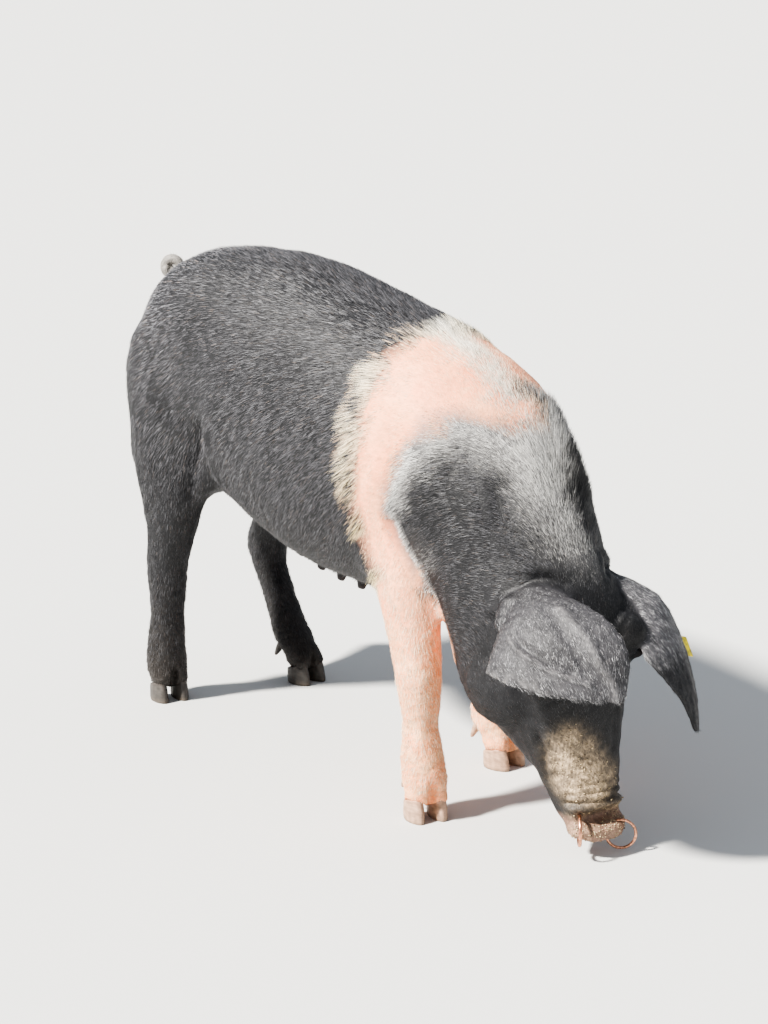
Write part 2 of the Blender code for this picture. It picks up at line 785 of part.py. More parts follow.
def carve_mouth(head, tree, cutters):
    """An upper and a lower lip on each side of the muzzle, and the line of the mouth between."""
    for side in (-1, 1):
        points = mouth_points(tree, side)
        run = (points[-1] - points[0]).normalized()
        apart = run.cross(Vector((0, 1, 0))).normalized() * LIP_SPREAD
        last = len(points) - 1
        radii = [LIP_RADIUS * (0.6 + 0.4 * math.sin(math.pi * i / last)) for i in range(last + 1)]
        sunk = Vector((0, -side * LIP_RADIUS * 0.55, 0))
        for offset in (apart, -apart):
            lip = tube("lip", [point + offset + sunk for point in points], radii, cutters, sides=8)
            boolean(head, lip, "UNION")
            bpy.data.objects.remove(lip, do_unlink=True)
        groove = tube("groove", points, [MOUTH_GROOVE] * len(points), cutters, sides=4)
        boolean(head, groove, "DIFFERENCE")
        bpy.data.objects.remove(groove, do_unlink=True)


def carve_nostrils(head, cutters):
    for side in (-1, 1):
        shape = bmesh.new()
        bmesh.ops.create_cone(
            shape, cap_ends=True, segments=12, radius1=1.0, radius2=0.7, depth=2 * NOSTRIL_DEPTH
        )
        place = disc_frame() @ Matrix.Translation((0.004, side * NOSTRIL_SPREAD, -DISC_THICKNESS / 2))
        size = Matrix.Diagonal((NOSTRIL_RADIUS * 1.15, NOSTRIL_RADIUS, 1.0, 1.0))
        bmesh.ops.transform(shape, matrix=place @ size, verts=shape.verts)
        hole = from_bmesh("hole", shape, cutters)
        boolean(head, hole, "DIFFERENCE")
        bpy.data.objects.remove(hole, do_unlink=True)


def add_teats(torso, cutters):
    """Two rows of teats along the belly."""
    tree = tree_of(torso)
    made = []
    for pair in range(TEAT_PAIRS):
        for side in (-1, 1):
            start = (TEAT_FIRST_X + TEAT_STEP * pair, side * TEAT_OUT, 0.0)
            hit, _ = surface_point(tree, start, (0, 0, 1))
            shape = bmesh.new()
            tip = TEAT_RADIUS * 0.7
            base = TEAT_RADIUS * 1.2
            bmesh.ops.create_cone(
                shape, cap_ends=True, segments=7, radius1=tip, radius2=base, depth=TEAT_LENGTH + 0.012
            )
            place = Matrix.Translation(hit + Vector((0, 0, 0.006 - TEAT_LENGTH / 2)))
            bmesh.ops.transform(shape, matrix=place, verts=shape.verts)
            made.append(from_bmesh("teat", shape, cutters))
    join_all(torso, made, cutters)


def make_nose_ring(name, centre, facing, group):
    """A wire hoop that stands upright through the rim of the snout's disc."""
    across = Vector((math.cos(facing), math.sin(facing), 0))
    up = Vector((0, 0, 1))
    normal = across.cross(up)
    points = 24
    sides = 6
    shape = bmesh.new()
    rings = []
    for i in range(points):
        angle = 2 * math.pi * i / points
        out = across * math.cos(angle) + up * math.sin(angle)
        ring = []
        for j in range(sides):
            roll = 2 * math.pi * j / sides
            wire = out * math.cos(roll) + normal * math.sin(roll)
            place = Vector(centre) + out * NOSE_RING_RADIUS + wire * NOSE_RING_WIRE
            ring.append(shape.verts.new(place))
        rings.append(ring)
    for i in range(points):
        here = rings[i]
        after = rings[(i + 1) % points]
        for j in range(sides):
            k = (j + 1) % sides
            shape.faces.new((here[j], here[k], after[k], after[j]))
    return from_bmesh(name, shape, group)


def make_tag(ear, group, cutters):
    """A small plate that hangs from a stud through the outer edge of the left ear."""
    hit = ear_point(1, LEFT_EAR, LEFT_EAR_FACE, TAG_ALONG, TAG_ACROSS)
    below = ear_point(1, LEFT_EAR, LEFT_EAR_FACE, TAG_ALONG + 0.08, TAG_ACROSS)
    down = (below - hit).normalized()
    front = Vector((0.98, 0.20, 0.0))
    front = (front - down * front.dot(down)).normalized()
    across = down.cross(front)
    turn = Matrix((across, down, front)).transposed().to_4x4()

    shape = bmesh.new()
    bmesh.ops.create_cube(shape, size=1.0)
    middle = hit + front * TAG_STAND_OFF + down * TAG_LENGTH * 0.33 + across * TAG_SHIFT
    size = Matrix.Diagonal((TAG_WIDTH, TAG_LENGTH, TAG_THICKNESS, 1.0))
    bmesh.ops.transform(shape, matrix=Matrix.Translation(middle) @ turn @ size, verts=shape.verts)
    plate = from_bmesh("ear_tag", shape, group)
    round_off = plate.modifiers.new("round", "BEVEL")
    round_off.width = 0.0009
    round_off.segments = 1
    apply_modifiers(plate)

    shape = bmesh.new()
    bmesh.ops.create_cone(
        shape, cap_ends=True, segments=10, radius1=STUD_RADIUS, radius2=STUD_RADIUS, depth=0.014
    )
    place = Matrix.Translation(hit + front * (TAG_STAND_OFF - 0.007)) @ turn
    bmesh.ops.transform(shape, matrix=place, verts=shape.verts)
    stud = from_bmesh("stud", shape, cutters)
    cut_clear(ear, [plate, stud], cutters)
    join_all(plate, [stud], cutters)
    return plate


def finish(obj, look):
    obj.data.materials.clear()
    obj.data.materials.append(look)
    obj.data.shade_smooth()
    obj.data.set_sharp_from_angle(angle=math.radians(40))


def stand_on_origin(objects):
    """Moves every piece so that the origin is on the floor under the middle of the box."""
    corners = np.array([vertex.co for obj in objects for vertex in obj.data.vertices])
    low = corners.min(axis=0)
    high = corners.max(axis=0)
    shift = Vector((-(low[0] + high[0]) / 2, -(low[1] + high[1]) / 2, -low[2]))
    for obj in objects:
        obj.data.transform(Matrix.Translation(shift))


def main():
    clear_scene()
    pig = collection("domestic_pig")
    cutters = collection("cutters", hidden=True)

    body = make_clay(pig)
    thin_out(body)
    body.name = "torso"

    nodes = {"torso": body}
    for side, label in SIDES:
        name = "hindleg_" + label
        nodes[name] = take_limb(body, name, side, HIND_PARTING, HIND_REACH, pig, cutters)
        name = "foreleg_" + label
        nodes[name] = take_limb(
            body, name, side, FORE_PARTING, FORE_REACH, pig, cutters, spared=THROAT_BOX
        )
    head = take_front(body, "head", (0.575, 0, 0.370), (0.84, 0, -0.54), pig, cutters)
    nodes["head"] = head
    nodes["neck"] = take_front(body, "neck", (0.432, 0, 0.54), (1, 0, -0.15), pig, cutters)
    add_teats(body, cutters)

    head_tree = tree_of(head)
    carve_mouth(head, head_tree, cutters)
    carve_nostrils(head, cutters)
    for side, label in SIDES:
        eye, centre, outward = make_eye("eye_" + label, side, head_tree, pig)
        add_lids(head, centre, outward, cutters)
        cut_clear(head, [eye], cutters)
        nodes["eye_" + label] = eye

    nodes["ear_right"] = make_ear("ear_right", -1, RIGHT_EAR, RIGHT_EAR_FACE, pig)
    nodes["ear_left"] = make_ear("ear_left", 1, LEFT_EAR, LEFT_EAR_FACE, pig)
    for label in ("right", "left"):
        cut_clear(nodes["ear_" + label], [head, nodes["neck"]], cutters)

    nodes["tail"] = make_tail(pig)
    cut_clear(nodes["tail"], [body], cutters)

    for name in LIMBS:
        horn = make_horn(name, nodes[name], pig)
        cut_clear(nodes[name], horn, cutters)
        for piece in horn:
            nodes[piece.name] = piece

    for name, (centre, facing) in NOSE_RINGS.items():
        ring = make_nose_ring(name, centre, facing, pig)
        cut_clear(head, [ring], cutters)
        nodes[name] = ring

    nodes["ear_tag"] = make_tag(nodes["ear_left"], pig, cutters)

    looks = {
        "dark": material("dark_hide", (0.045, 0.045, 0.050), 0.55),
        "pink": material("pink_hide", (0.72, 0.46, 0.38), 0.60),
        "horn": material("horn", (0.30, 0.22, 0.18), 0.50),
        "eye": material("eye", (0.05, 0.03, 0.02), 0.10),
        "copper": material("copper", (0.72, 0.38, 0.26), 0.35, 1.0),
        "tag": material("tag", (0.85, 0.70, 0.05), 0.45),
    }
    for name, obj in nodes.items():
        kind = "dark"
        if name.startswith("foreleg"):
            kind = "pink"
        elif "claw" in name:
            kind = "horn"
        elif name.startswith("eye"):
            kind = "eye"
        elif name.startswith("nose_ring"):
            kind = "copper"
        elif name == "ear_tag":
            kind = "tag"
        finish(obj, looks[kind])
    stand_on_origin(list(nodes.values()))


if __name__ == "__main__":
    main()
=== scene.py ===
"""A grazing domestic pig with a saddle marking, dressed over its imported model: one skin, a coat of
short bristles, horn, eyes, and the rings and tag she wears, on a pale studio floor."""

import math

import bmesh
import bpy
import numpy as np
from bpy.props import FloatProperty, FloatVectorProperty, IntProperty, PointerProperty
from mathutils import Matrix, Vector
from mathutils.bvhtree import BVHTree


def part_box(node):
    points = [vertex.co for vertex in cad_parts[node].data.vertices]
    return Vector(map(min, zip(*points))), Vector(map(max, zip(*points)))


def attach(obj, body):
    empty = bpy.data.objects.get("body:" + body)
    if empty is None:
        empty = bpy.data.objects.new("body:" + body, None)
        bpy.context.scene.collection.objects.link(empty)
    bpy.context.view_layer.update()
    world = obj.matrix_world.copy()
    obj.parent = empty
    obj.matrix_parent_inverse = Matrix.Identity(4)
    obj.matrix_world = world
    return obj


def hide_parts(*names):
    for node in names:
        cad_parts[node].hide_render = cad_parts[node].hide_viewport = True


bl_info = {
    "name": "Grazing Pig",
    "version": (1, 0, 0),
    "blender": (4, 5, 0),
    "location": "View3D > Sidebar > Pig",
    "description": "Builds the skin, bristles, horn, eyes and worn pieces of a grazing pig",
    "category": "Object",
}

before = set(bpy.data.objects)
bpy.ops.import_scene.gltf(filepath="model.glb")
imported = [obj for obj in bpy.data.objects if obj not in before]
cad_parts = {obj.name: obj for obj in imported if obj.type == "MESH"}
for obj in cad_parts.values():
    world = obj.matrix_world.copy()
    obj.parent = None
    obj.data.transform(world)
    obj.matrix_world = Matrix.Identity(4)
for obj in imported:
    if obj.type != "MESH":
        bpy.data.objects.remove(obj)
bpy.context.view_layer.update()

FLESH = (
    "torso", "neck", "head", "foreleg_left", "foreleg_right", "hindleg_left", "hindleg_right",
    "ear_left", "ear_right", "tail",
)
FORELEGS, HINDLEGS, LEGS, EARS = FLESH[3:5], FLESH[5:7], FLESH[3:7], FLESH[7:9]
FEET = ("fore_left", "fore_right", "hind_left", "hind_right")
SEED = 11

# Places below are in the pig's own frame: metres, y 0 down her middle, her left is +y. This claw
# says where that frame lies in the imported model.
CLAW_MIDDLE = Vector((0.42035, -0.10488, 0.0))
CLAW_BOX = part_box("claw_fore_right_a")
HERE = (CLAW_BOX[0] + CLAW_BOX[1]) / 2 - CLAW_MIDDLE
HERE.z = 0.0

# Where the neck runs in to the root of her left ear, and its skin is smoothed more.
FAR_EAR_ROOT = (0.621, 0.079, 0.461)
# Radius of the hollow that the skin keeps round each eyeball.
EYE_HOLLOW = 0.0138
# Size of the remesh's cells, and what the skin is then thinned to.
SKIN_VOXEL = 0.0026
SKIN_TRIANGLES = 194000

# Where the pink hide of the saddle starts, going forward, by height.
SADDLE_REAR = (
    (0.10, 0.345), (0.38, 0.330), (0.415, 0.315), (0.438, 0.303), (0.469, 0.290), (0.503, 0.286),
    (0.602, 0.283), (0.667, 0.283), (0.697, 0.281), (0.729, 0.286), (0.759, 0.294), (0.800, 0.310),
)
# The pale crest of the neck: height, its near and far edge across, and how pale it is.
CREST = ((0.42, -0.045, 0.030, 0.26), (0.47, -0.066, 0.036, 0.44), (0.505, -0.078, 0.032, 0.54),
         (0.52, -0.082, 0.024, 0.58), (0.56, -0.088, 0.016, 0.70), (0.60, -0.092, 0.020, 0.86),
         (0.615, -0.094, 0.036, 0.90), (0.64, -0.098, 0.078, 0.96), (0.70, -0.100, 0.090, 1.00))
# Painted shade that darkens her black coat where it lies in shade: place, reach and strength.
PAINTED_SHADES = (((0.445, -0.150, 0.530), 0.060, 0.50), ((0.712, 0.045, 0.360), 0.036, 0.85))
# The ridge of the neck where the bristles stand.
MANE = ((0.46, 0.072, 0.672), (0.519, 0.064, 0.636), (0.547, 0.060, 0.606), (0.568, 0.062, 0.572))
# The edge where grey hide begins again on the neck, as x and z along the side.
GREY_NECK = (
    (0.450, 0.300), (0.428, 0.345), (0.417, 0.374), (0.410, 0.408), (0.394, 0.439), (0.375, 0.461),
    (0.356, 0.481), (0.351, 0.515), (0.354, 0.549), (0.367, 0.583), (0.381, 0.610), (0.400, 0.633),
    (0.419, 0.653), (0.436, 0.665), (0.448, 0.675), (0.463, 0.680), (0.484, 0.676), (0.498, 0.671),
    (0.514, 0.660), (0.530, 0.652), (0.560, 0.720),
)
GREY_NECK_REST = ((1.0, 0.90), (1.0, -0.10), (0.52, -0.10), (0.470, 0.240))
# How wide the roan is between the pink and the black, by height.
ROAN_WIDTH = ((0.37, 0.012), (0.41, 0.020), (0.45, 0.026), (0.48, 0.032), (0.51, 0.040),
              (0.55, 0.050), (0.60, 0.057), (0.66, 0.062))

# Folds and ridges pressed into the hide, in millimetres: points, half width, height, and the sides
# they are on: 0 for both, -1 for her right and 1 for her left.
FOLDS = (
    (((-375, -178, 568), (-343, -182, 562), (-308, -172, 555), (-278, -159, 547),
      (-215, -166, 550)), 14, -4.2, 0),
    (((-350, -180, 592), (-308, -172, 586), (-262, -160, 580)), 22, 6, 0),
    (((-199, -170, 553), (-227, -157, 521), (-245, -155, 486), (-258, -152, 451),
      (-272, -145, 418)), 17, -15, 0),
    (((-160, -174, 552), (-165, -171, 519), (-170, -165, 480), (-185, -155, 440)), 14, 8, 0),
    (((366, -160, 500), (378, -157, 469), (401, -150, 440), (419, -133, 400), (426, -114, 365)), 12,
      -13, 0),
    (((330, -172, 600), (338, -172, 520), (355, -165, 450), (378, -158, 380)), 26, 6, 0),
    (((541, -90, 583), (552, -89, 566), (562, -89, 547), (571, -90, 530)), 4.4, -11, 0),
    (((512, -105, 590), (524, -107, 562), (538, -108, 530)), 11, 4, 0),
    (((467, -118, 480), (497, -117, 430), (509, -104, 370)), 16, -4, 0),
    (((580, -118, 372), (586, -114, 392), (596, -107, 414), (609, -97, 434), (622, -85, 446),
      (643, -66, 450), (662, -50, 442)), 6.5, -4.5, 0),
    (((572, -110, 400), (585, -104, 425), (603, -90, 448), (625, -70, 462), (650, -50, 462)), 9,
      3.5, 0),
    (((676, -60, 88), (698, -46, 92), (709, -20, 94), (711, 0, 94)), 4.2, -6, 0),
    (((682, -56, 102), (699, -42, 106), (707, -20, 108), (709, 0, 109)), 3.6, -3.2, 0),
    (((684, -52, 116), (698, -40, 120), (705, -18, 123), (707, 0, 124)), 3.4, -2.2, 0),
    (((688, -46, 131), (698, -34, 136), (704, -16, 139), (705, 0, 140)), 3.4, -1.4, 0),
    (((680, -57, 78), (701, -47, 82), (714, -22, 83), (717, 0, 83)), 5, 3.4, 0),
    (((642, -81, 190), (650, -77, 171), (644, -73, 147), (645, -65, 120)), 5.5, -4.8, 0),
    (((656, -76, 190), (662, -70, 165), (658, -66, 140)), 9, 4.5, 0),
    (((630, -88, 188), (634, -84, 165), (628, -78, 140)), 6, 3, 0),
    (((607, -101, 300), (629, -97, 262), (642, -88, 220)), 12, -4, 0),
    (((697, -40, 270), (699, -34, 220), (697, -32, 170)), 10, -3.5, 0),
    (((680, -66, 352), (698, -48, 362), (706, -28, 352)), 5, -3.5, 0),
    (((672, -70, 368), (692, -50, 380), (704, -26, 370)), 6, 3, 0),
    (((664, -74, 290), (686, -60, 284), (698, -44, 292)), 5, -3.2, 0),
    (((677, -171, 382), (690, -175, 375), (703, -176, 368), (728, -171, 358), (750, -161, 349),
      (771, -149, 341), (788, -134, 335), (802, -117, 329)), 3.6, 4.4, -1),
    (((682, -168, 390), (705, -171, 377), (730, -166, 367), (752, -156, 358), (780, -136, 346)),
      7.5, -4, -1),
    (((715, -103, 421), (749, -102, 405), (780, -99, 381), (801, -97, 355), (815, -88, 333),
      (826, -80, 306)), 8, 4.2, -1),
    (((700, -120, 412), (740, -122, 396), (772, -122, 370), (795, -116, 345)), 9, -3, -1),
    (((697, 133, 400), (709, 149, 350), (725, 159, 300), (743, 161, 250)), 8, 3.5, 1),
    (((685, 163, 370), (693, 179, 330), (712, 183, 280)), 6, -3, 1),
    (((473, 70, 668), (519, 60, 632), (547, 60, 602), (563, 64, 575)), 38, 8.5, 1),
    (((600, 60, 515), (618, 58, 490), (640, 52, 462)), 20, -6, 1),
    (((612, 84, 472), (620, 80, 462), (627, 79, 450)), 18, -11, 1),
)
# The dark slit on the side of the neck is one of them.
SLIT_FOLD = 6

# Flesh that joins the root of her right ear to the cheek.
EAR_ROOT = (
    ((0.636, -0.086, 0.416), (0.030, 0.026, 0.024)),
    ((0.658, -0.098, 0.410), (0.030, 0.024, 0.020)),
    ((0.630, -0.100, 0.392), (0.026, 0.022, 0.026)),
    ((0.612, -0.111, 0.402), (0.025, 0.021, 0.023)),
    ((0.618, -0.124, 0.394), (0.022, 0.019, 0.018)),
    ((0.626, -0.137, 0.385), (0.018, 0.017, 0.015)),
    ((0.605, -0.115, 0.383), (0.022, 0.015, 0.024)),
)

# How pale the hairs of each flesh node are beyond the body's.
EAR_PALE = (0.0, 0.0, 0.0, 0.0, 0.0, 0.0, 0.0, 1.5, 1.0, 0.0)

# Teats along the belly: the first pair, the step to the next, how far out, and how many.
TEATS = (-0.104, 0.060, 0.052, 6)

# Sandy soil on the bridge of the muzzle and the disc: place, reach, strength.
SOIL = (
    ((0.688, -0.053, 0.196), 0.021, 0.66), ((0.698, -0.030, 0.176), 0.022, 0.55),
    ((0.700, -0.006, 0.150), 0.022, 0.42), ((0.677, -0.065, 0.187), 0.018, 0.45),
    ((0.701, 0.014, 0.126), 0.022, 0.45), ((0.702, -0.023, 0.136), 0.030, 0.95),
    ((0.708, -0.012, 0.110), 0.026, 0.90), ((0.694, -0.047, 0.115), 0.024, 0.75),
    ((0.672, -0.059, 0.125), 0.022, 0.50), ((0.684, -0.056, 0.158), 0.028, 0.80),
    ((0.699, -0.049, 0.045), 0.024, 0.75), ((0.719, -0.030, 0.050), 0.028, 0.70),
    ((0.722, 0.010, 0.052), 0.030, 0.75), ((0.700, 0.035, 0.058), 0.026, 0.65),
)

# The camera's place, the way it looks and its lens in millimetres, and where the sun stands.
CAMERA_AT = (3.363, -2.392, 1.424)
CAMERA_LOOK = (-0.7812, 0.5777, -0.2367)
CAMERA_LENS = 84.375
SUN_AT = (-0.14, -0.70, 0.72)


# ---- properties


class PigHide(bpy.types.PropertyGroup):
    """Colours of the bare hide."""

    dark: FloatVectorProperty(
        name="Dark hide", description="Hide outside the saddle", subtype="COLOR", size=3,
        default=(0.016, 0.016, 0.018), min=0.0, max=1.0,
    )
    pink: FloatVectorProperty(
        name="Pink hide", description="Hide of the saddle and forelegs", subtype="COLOR", size=3,
        default=(0.86, 0.38, 0.22), min=0.0, max=1.0,
    )
    soil: FloatVectorProperty(
        name="Soil", description="Sandy soil on the muzzle", subtype="COLOR", size=3,
        default=(0.72, 0.55, 0.37), min=0.0, max=1.0,
    )
    depth: FloatProperty(
        name="Coat depth", description="How far the hide lies inside the solids", unit="LENGTH",
        default=0.0022, min=0.0, max=0.01,
    )


class PigCoat(bpy.types.PropertyGroup):
    """Sizes and colours of the bristles."""

    body: FloatProperty(
        name="Body length", description="Length of the bristles on the trunk", unit="LENGTH",
        default=0.016, min=0.002, max=0.08,
    )
    face: FloatProperty(
        name="Face length", description="Length of the bristles on the face", unit="LENGTH",
        default=0.0080, min=0.001, max=0.05,
    )
    leg: FloatProperty(
        name="Leg length", description="Length of the bristles on the lower legs", unit="LENGTH",
        default=0.011, min=0.001, max=0.05,
    )
    fringe: FloatProperty(
        name="Fringe length", description="Length of the cream bristles that edge the saddle",
        unit="LENGTH", default=0.036, min=0.002, max=0.08,
    )
    width: FloatProperty(
        name="Width", description="Width of a bristle lock at its root", unit="LENGTH",
        default=0.00066, min=0.0002, max=0.004,
    )
    amount: FloatProperty(
        name="Amount", description="Share of the full count of locks", subtype="FACTOR",
        default=1.0, min=0.05, max=1.0,
    )
    black: FloatVectorProperty(
        name="Black bristle", description="Bristles on dark hide", subtype="COLOR", size=3,
        default=(0.022, 0.022, 0.025), min=0.0, max=1.0,
    )
    # Paler bristles that also stand in for painted glints on the black coat.
    silver: FloatVectorProperty(
        name="Silver bristle", description="Paler bristles among the black", subtype="COLOR",
        size=3, default=(0.192, 0.190, 0.205), min=0.0, max=1.0,
    )
    cream: FloatVectorProperty(
        name="Cream bristle", description="Bristles of the saddle and its edges", subtype="COLOR",
        size=3, default=(0.96, 0.86, 0.66), min=0.0, max=1.0,
    )


class PigHorn(bpy.types.PropertyGroup):
    """Colours of the claws."""

    front: FloatVectorProperty(
        name="Front claws", description="Horn of the forefeet", subtype="COLOR", size=3,
        default=(0.42, 0.28, 0.20), min=0.0, max=1.0,
    )
    hind: FloatVectorProperty(
        name="Hind claws", description="Horn of the hind feet", subtype="COLOR", size=3,
        default=(0.075, 0.068, 0.062), min=0.0, max=1.0,
    )


class PigEyes(bpy.types.PropertyGroup):
    """Sizes of the eye's markings."""

    iris: FloatProperty(
        name="Iris", description="Half angle of the iris from the middle of the eye",
        subtype="ANGLE", default=math.radians(44), min=0.1, max=1.5,
    )
    pupil: FloatProperty(
        name="Pupil", description="Half angle of the pupil", subtype="ANGLE",
        default=math.radians(20), min=0.05, max=1.0,
    )


class PigWorn(bpy.types.PropertyGroup):
    """Sizes and colours of the rings and the tag."""

    wire: FloatProperty(
        name="Ring wire", description="Half thickness of the nose rings", unit="LENGTH",
        default=0.0023, min=0.0005, max=0.006,
    )
    copper: FloatVectorProperty(
        name="Copper", description="Colour of the nose rings", subtype="COLOR", size=3,
        default=(0.80, 0.42, 0.28), min=0.0, max=1.0,
    )
    tag: FloatVectorProperty(
        name="Tag", description="Colour of the ear tag", subtype="COLOR", size=3,
        default=(0.86, 0.70, 0.03), min=0.0, max=1.0,
    )


class PigStage(bpy.types.PropertyGroup):
    """Floor, light and camera."""

    floor: FloatVectorProperty(
        name="Floor", description="Colour of the floor", subtype="COLOR", size=3,
        default=(0.62, 0.62, 0.61), min=0.0, max=1.0,
    )
    key: FloatProperty(
        name="Key light", description="Strength of the main light", default=9.5, min=0.0
    )
    fill: FloatProperty(
        name="Fill light", description="Strength of the room's light", default=0.55, min=0.0
    )
    crumbs: IntProperty(
        name="Crumbs", description="Grains of soil on the muzzle", default=1000, min=0
    )


# ---- shared tools


def placed(points):
    """From the pig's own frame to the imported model's."""
    return np.array(points, dtype=float) + np.array(HERE)


def own(points):
    """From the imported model's frame to the pig's own."""
    return points - np.array(HERE)


def smoothstep(low, high, value):
    t = np.clip((value - low) / (high - low), 0.0, 1.0)
    return t * t * (3 - 2 * t)


def bell(value):
    return np.exp(-(value ** 2))


def blend(first, second, share):
    """From the first colour to the second, by each point's share."""
    share = share[:, None]
    return first * (1 - share) + np.array(second) * share


def paint(share, *colour):
    """A colour in the amount that each point has of it."""
    return share[:, None] * np.array(colour)


def away_from(points, place):
    return np.linalg.norm(points - place, axis=1)


def unit(vectors):
    return vectors / np.maximum(np.linalg.norm(vectors, axis=1), 1e-6)[:, None]


def along_surface(vectors, normals):
    return vectors - normals * np.einsum("ij,ij->i", vectors, normals)[:, None]


def centre_of(node):
    low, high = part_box(node)
    return (low + high) / 2


def new_piece(name, mesh, *replaced, slot=None):
    """Puts a finished mesh in the scene as a piece that stands for the named nodes."""
    obj = bpy.data.objects.new(name, mesh)
    bpy.context.scene.collection.objects.link(obj)
    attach(obj, "root")
    if replaced:
        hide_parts(*replaced)
    return obj


def mesh_of(name, shape):
    mesh = bpy.data.meshes.new(name)
    shape.to_mesh(mesh)
    shape.free()
    return mesh


def mesh_from(name, points, corners, starts):
    """A mesh from its points, the point at each corner, and the first corner of each face."""
    mesh = bpy.data.meshes.new(name)
    mesh.vertices.add(points.size // 3)
    mesh.vertices.foreach_set("co", points.astype(np.float32).ravel())
    mesh.loops.add(corners.size)
    mesh.loops.foreach_set("vertex_index", corners.astype(np.int32).ravel())
    mesh.polygons.add(starts.size)
    mesh.polygons.foreach_set("loop_start", starts.astype(np.int32).ravel())
    mesh.update(calc_edges=True)
    return mesh


def vector_field(mesh, kind):
    values = np.empty(len(mesh.vertices) * 3, np.float32)
    mesh.vertices.foreach_get(kind, values)
    return values.reshape(-1, 3).astype(float)


def points_of(mesh):
    return vector_field(mesh, "co")


def normals_of(mesh):
    return vector_field(mesh, "normal")


def set_points(mesh, points):
    mesh.vertices.foreach_set("co", points.astype(np.float32).ravel())
    mesh.update()


def edges_of(mesh):
    pairs = np.empty(len(mesh.edges) * 2, np.int32)
    mesh.edges.foreach_get("vertices", pairs)
    return pairs.reshape(-1, 2)


def set_colour(mesh, name, colours):
    layer = mesh.color_attributes.new(name, "FLOAT_COLOR", "POINT")
    full = np.ones((len(colours), 4), np.float32)
    full[:, :3] = colours
    layer.data.foreach_set("color", full.ravel())


def neighbour_sum(values, pairs):
    """The sum of the values of each point's neighbours."""
    first, second = pairs[:, 0], pairs[:, 1]
    count = len(values)
    return np.bincount(first, values[second], count) + np.bincount(second, values[first], count)


def neighbour_count(pairs, count):
    return np.maximum(neighbour_sum(np.ones(count), pairs), 1)


def spread(values, pairs, passes, share=0.5):
    """Evens values out along the edges of a mesh."""
    near = neighbour_count(pairs, len(values))
    flat = values.reshape(len(values), -1).astype(float)
    for _ in range(passes):
        for column in range(flat.shape[1]):
            line = flat[:, column]
            flat[:, column] = line + share * (neighbour_sum(line, pairs) / near - line)
    return flat.reshape(values.shape)


def relax(points, pairs, passes):
    """Smooths points; passes is how many rounds each point takes part in."""
    near = neighbour_count(pairs, len(points))
    for turn in range(int(passes.max())):
        share = 0.6 * np.clip(passes - turn, 0.0, 1.0)
        pulled = np.column_stack([neighbour_sum(line, pairs) / near for line in points.T])
        points = points + share[:, None] * (pulled - points)
    return points


def rumple(points, scale, seed):
    """A smooth random height, about -1 to 1, with features of the given size in metres."""
    random = np.random.default_rng(seed)
    value = np.zeros(len(points))
    for _ in range(7):
        wave = random.normal(size=3)
        wave *= (0.7 + 0.6 * random.random()) / np.linalg.norm(wave)
        value += np.sin(points @ wave * (2 * math.pi / scale) + random.random() * 6.28)
    return value / 3.0


def distance_to_line(points, line):
    """Distance from each point to a polyline."""
    best = np.full(len(points), 1e9)
    for start, end in zip(line, line[1:]):
        along = end - start
        t = np.clip(((points - start) @ along) / (along @ along), 0, 1)
        gap = points - (start + t[:, None] * along)
        best = np.minimum(best, np.einsum("ij,ij->i", gap, gap))
    return np.sqrt(best)


def inside_outline(x, z, outline):
    inside = np.zeros(len(x), bool)
    for (x0, z0), (x1, z1) in zip(outline, outline[1:] + outline[:1]):
        crosses = (z0 > z) != (z1 > z)
        with np.errstate(divide="ignore", invalid="ignore"):
            at = (x1 - x0) * (z - z0) / (z1 - z0) + x0
        inside ^= crosses & (x < at)
    return inside


# ---- hide


def add_ball(shape, centre, radii, turn=0.0):
    """A ball of flesh that the remesh melts in."""
    turned = Matrix.Rotation(turn, 4, "Z") @ Matrix.Diagonal((*radii, 1.0))
    matrix = Matrix.Translation(centre) @ turned
    bmesh.ops.create_icosphere(shape, subdivisions=3, radius=1.0, matrix=matrix)


def add_toes(shape, foot):
    """Two toes from the pastern down over the tops of the claws."""
    claws = [centre_of(f"claw_{foot}_{place}") for place in "ab"]
    across = claws[0] - claws[1]
    turn = math.atan2(across.y, across.x) - math.pi / 2
    ahead = Vector((math.cos(turn), math.sin(turn), 0))
    middle = (claws[0] + claws[1]) / 2
    end, side = foot.split("_")
    leg = points_of(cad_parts[f"{end}leg_{side}"].data)
    pastern = Vector(leg[(leg[:, 2] > 0.080) & (leg[:, 2] < 0.112)].mean(axis=0))
    for claw in claws:
        low = Vector((claw.x, claw.y, 0.043)) - ahead * 0.003
        high = pastern + (claw - middle) * 0.55
        high.z = 0.090
        for i in range(8):
            share = i / 7
            radii = (0.0262 + 0.002 * share, 0.0146 + 0.0045 * share, 0.0120 + 0.005 * share)
            add_ball(shape, low.lerp(high, share), radii, turn)


def joined_flesh():
    """Copies of the flesh nodes, merged, with toes, and swollen so that they run together."""
    shape = bmesh.new()
    for name in FLESH:
        shape.from_mesh(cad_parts[name].data)
    bmesh.ops.remove_doubles(shape, verts=shape.verts, dist=0.00001)
    shape.normal_update()
    moves = [vertex.normal * 0.0005 for vertex in shape.verts]
    for vertex, move in zip(shape.verts, moves):
        vertex.co += move
    for foot in FEET:
        add_toes(shape, foot)
    for centre, radii in EAR_ROOT:
        add_ball(shape, Vector(centre) + HERE, radii)
    return mesh_of("flesh", shape)


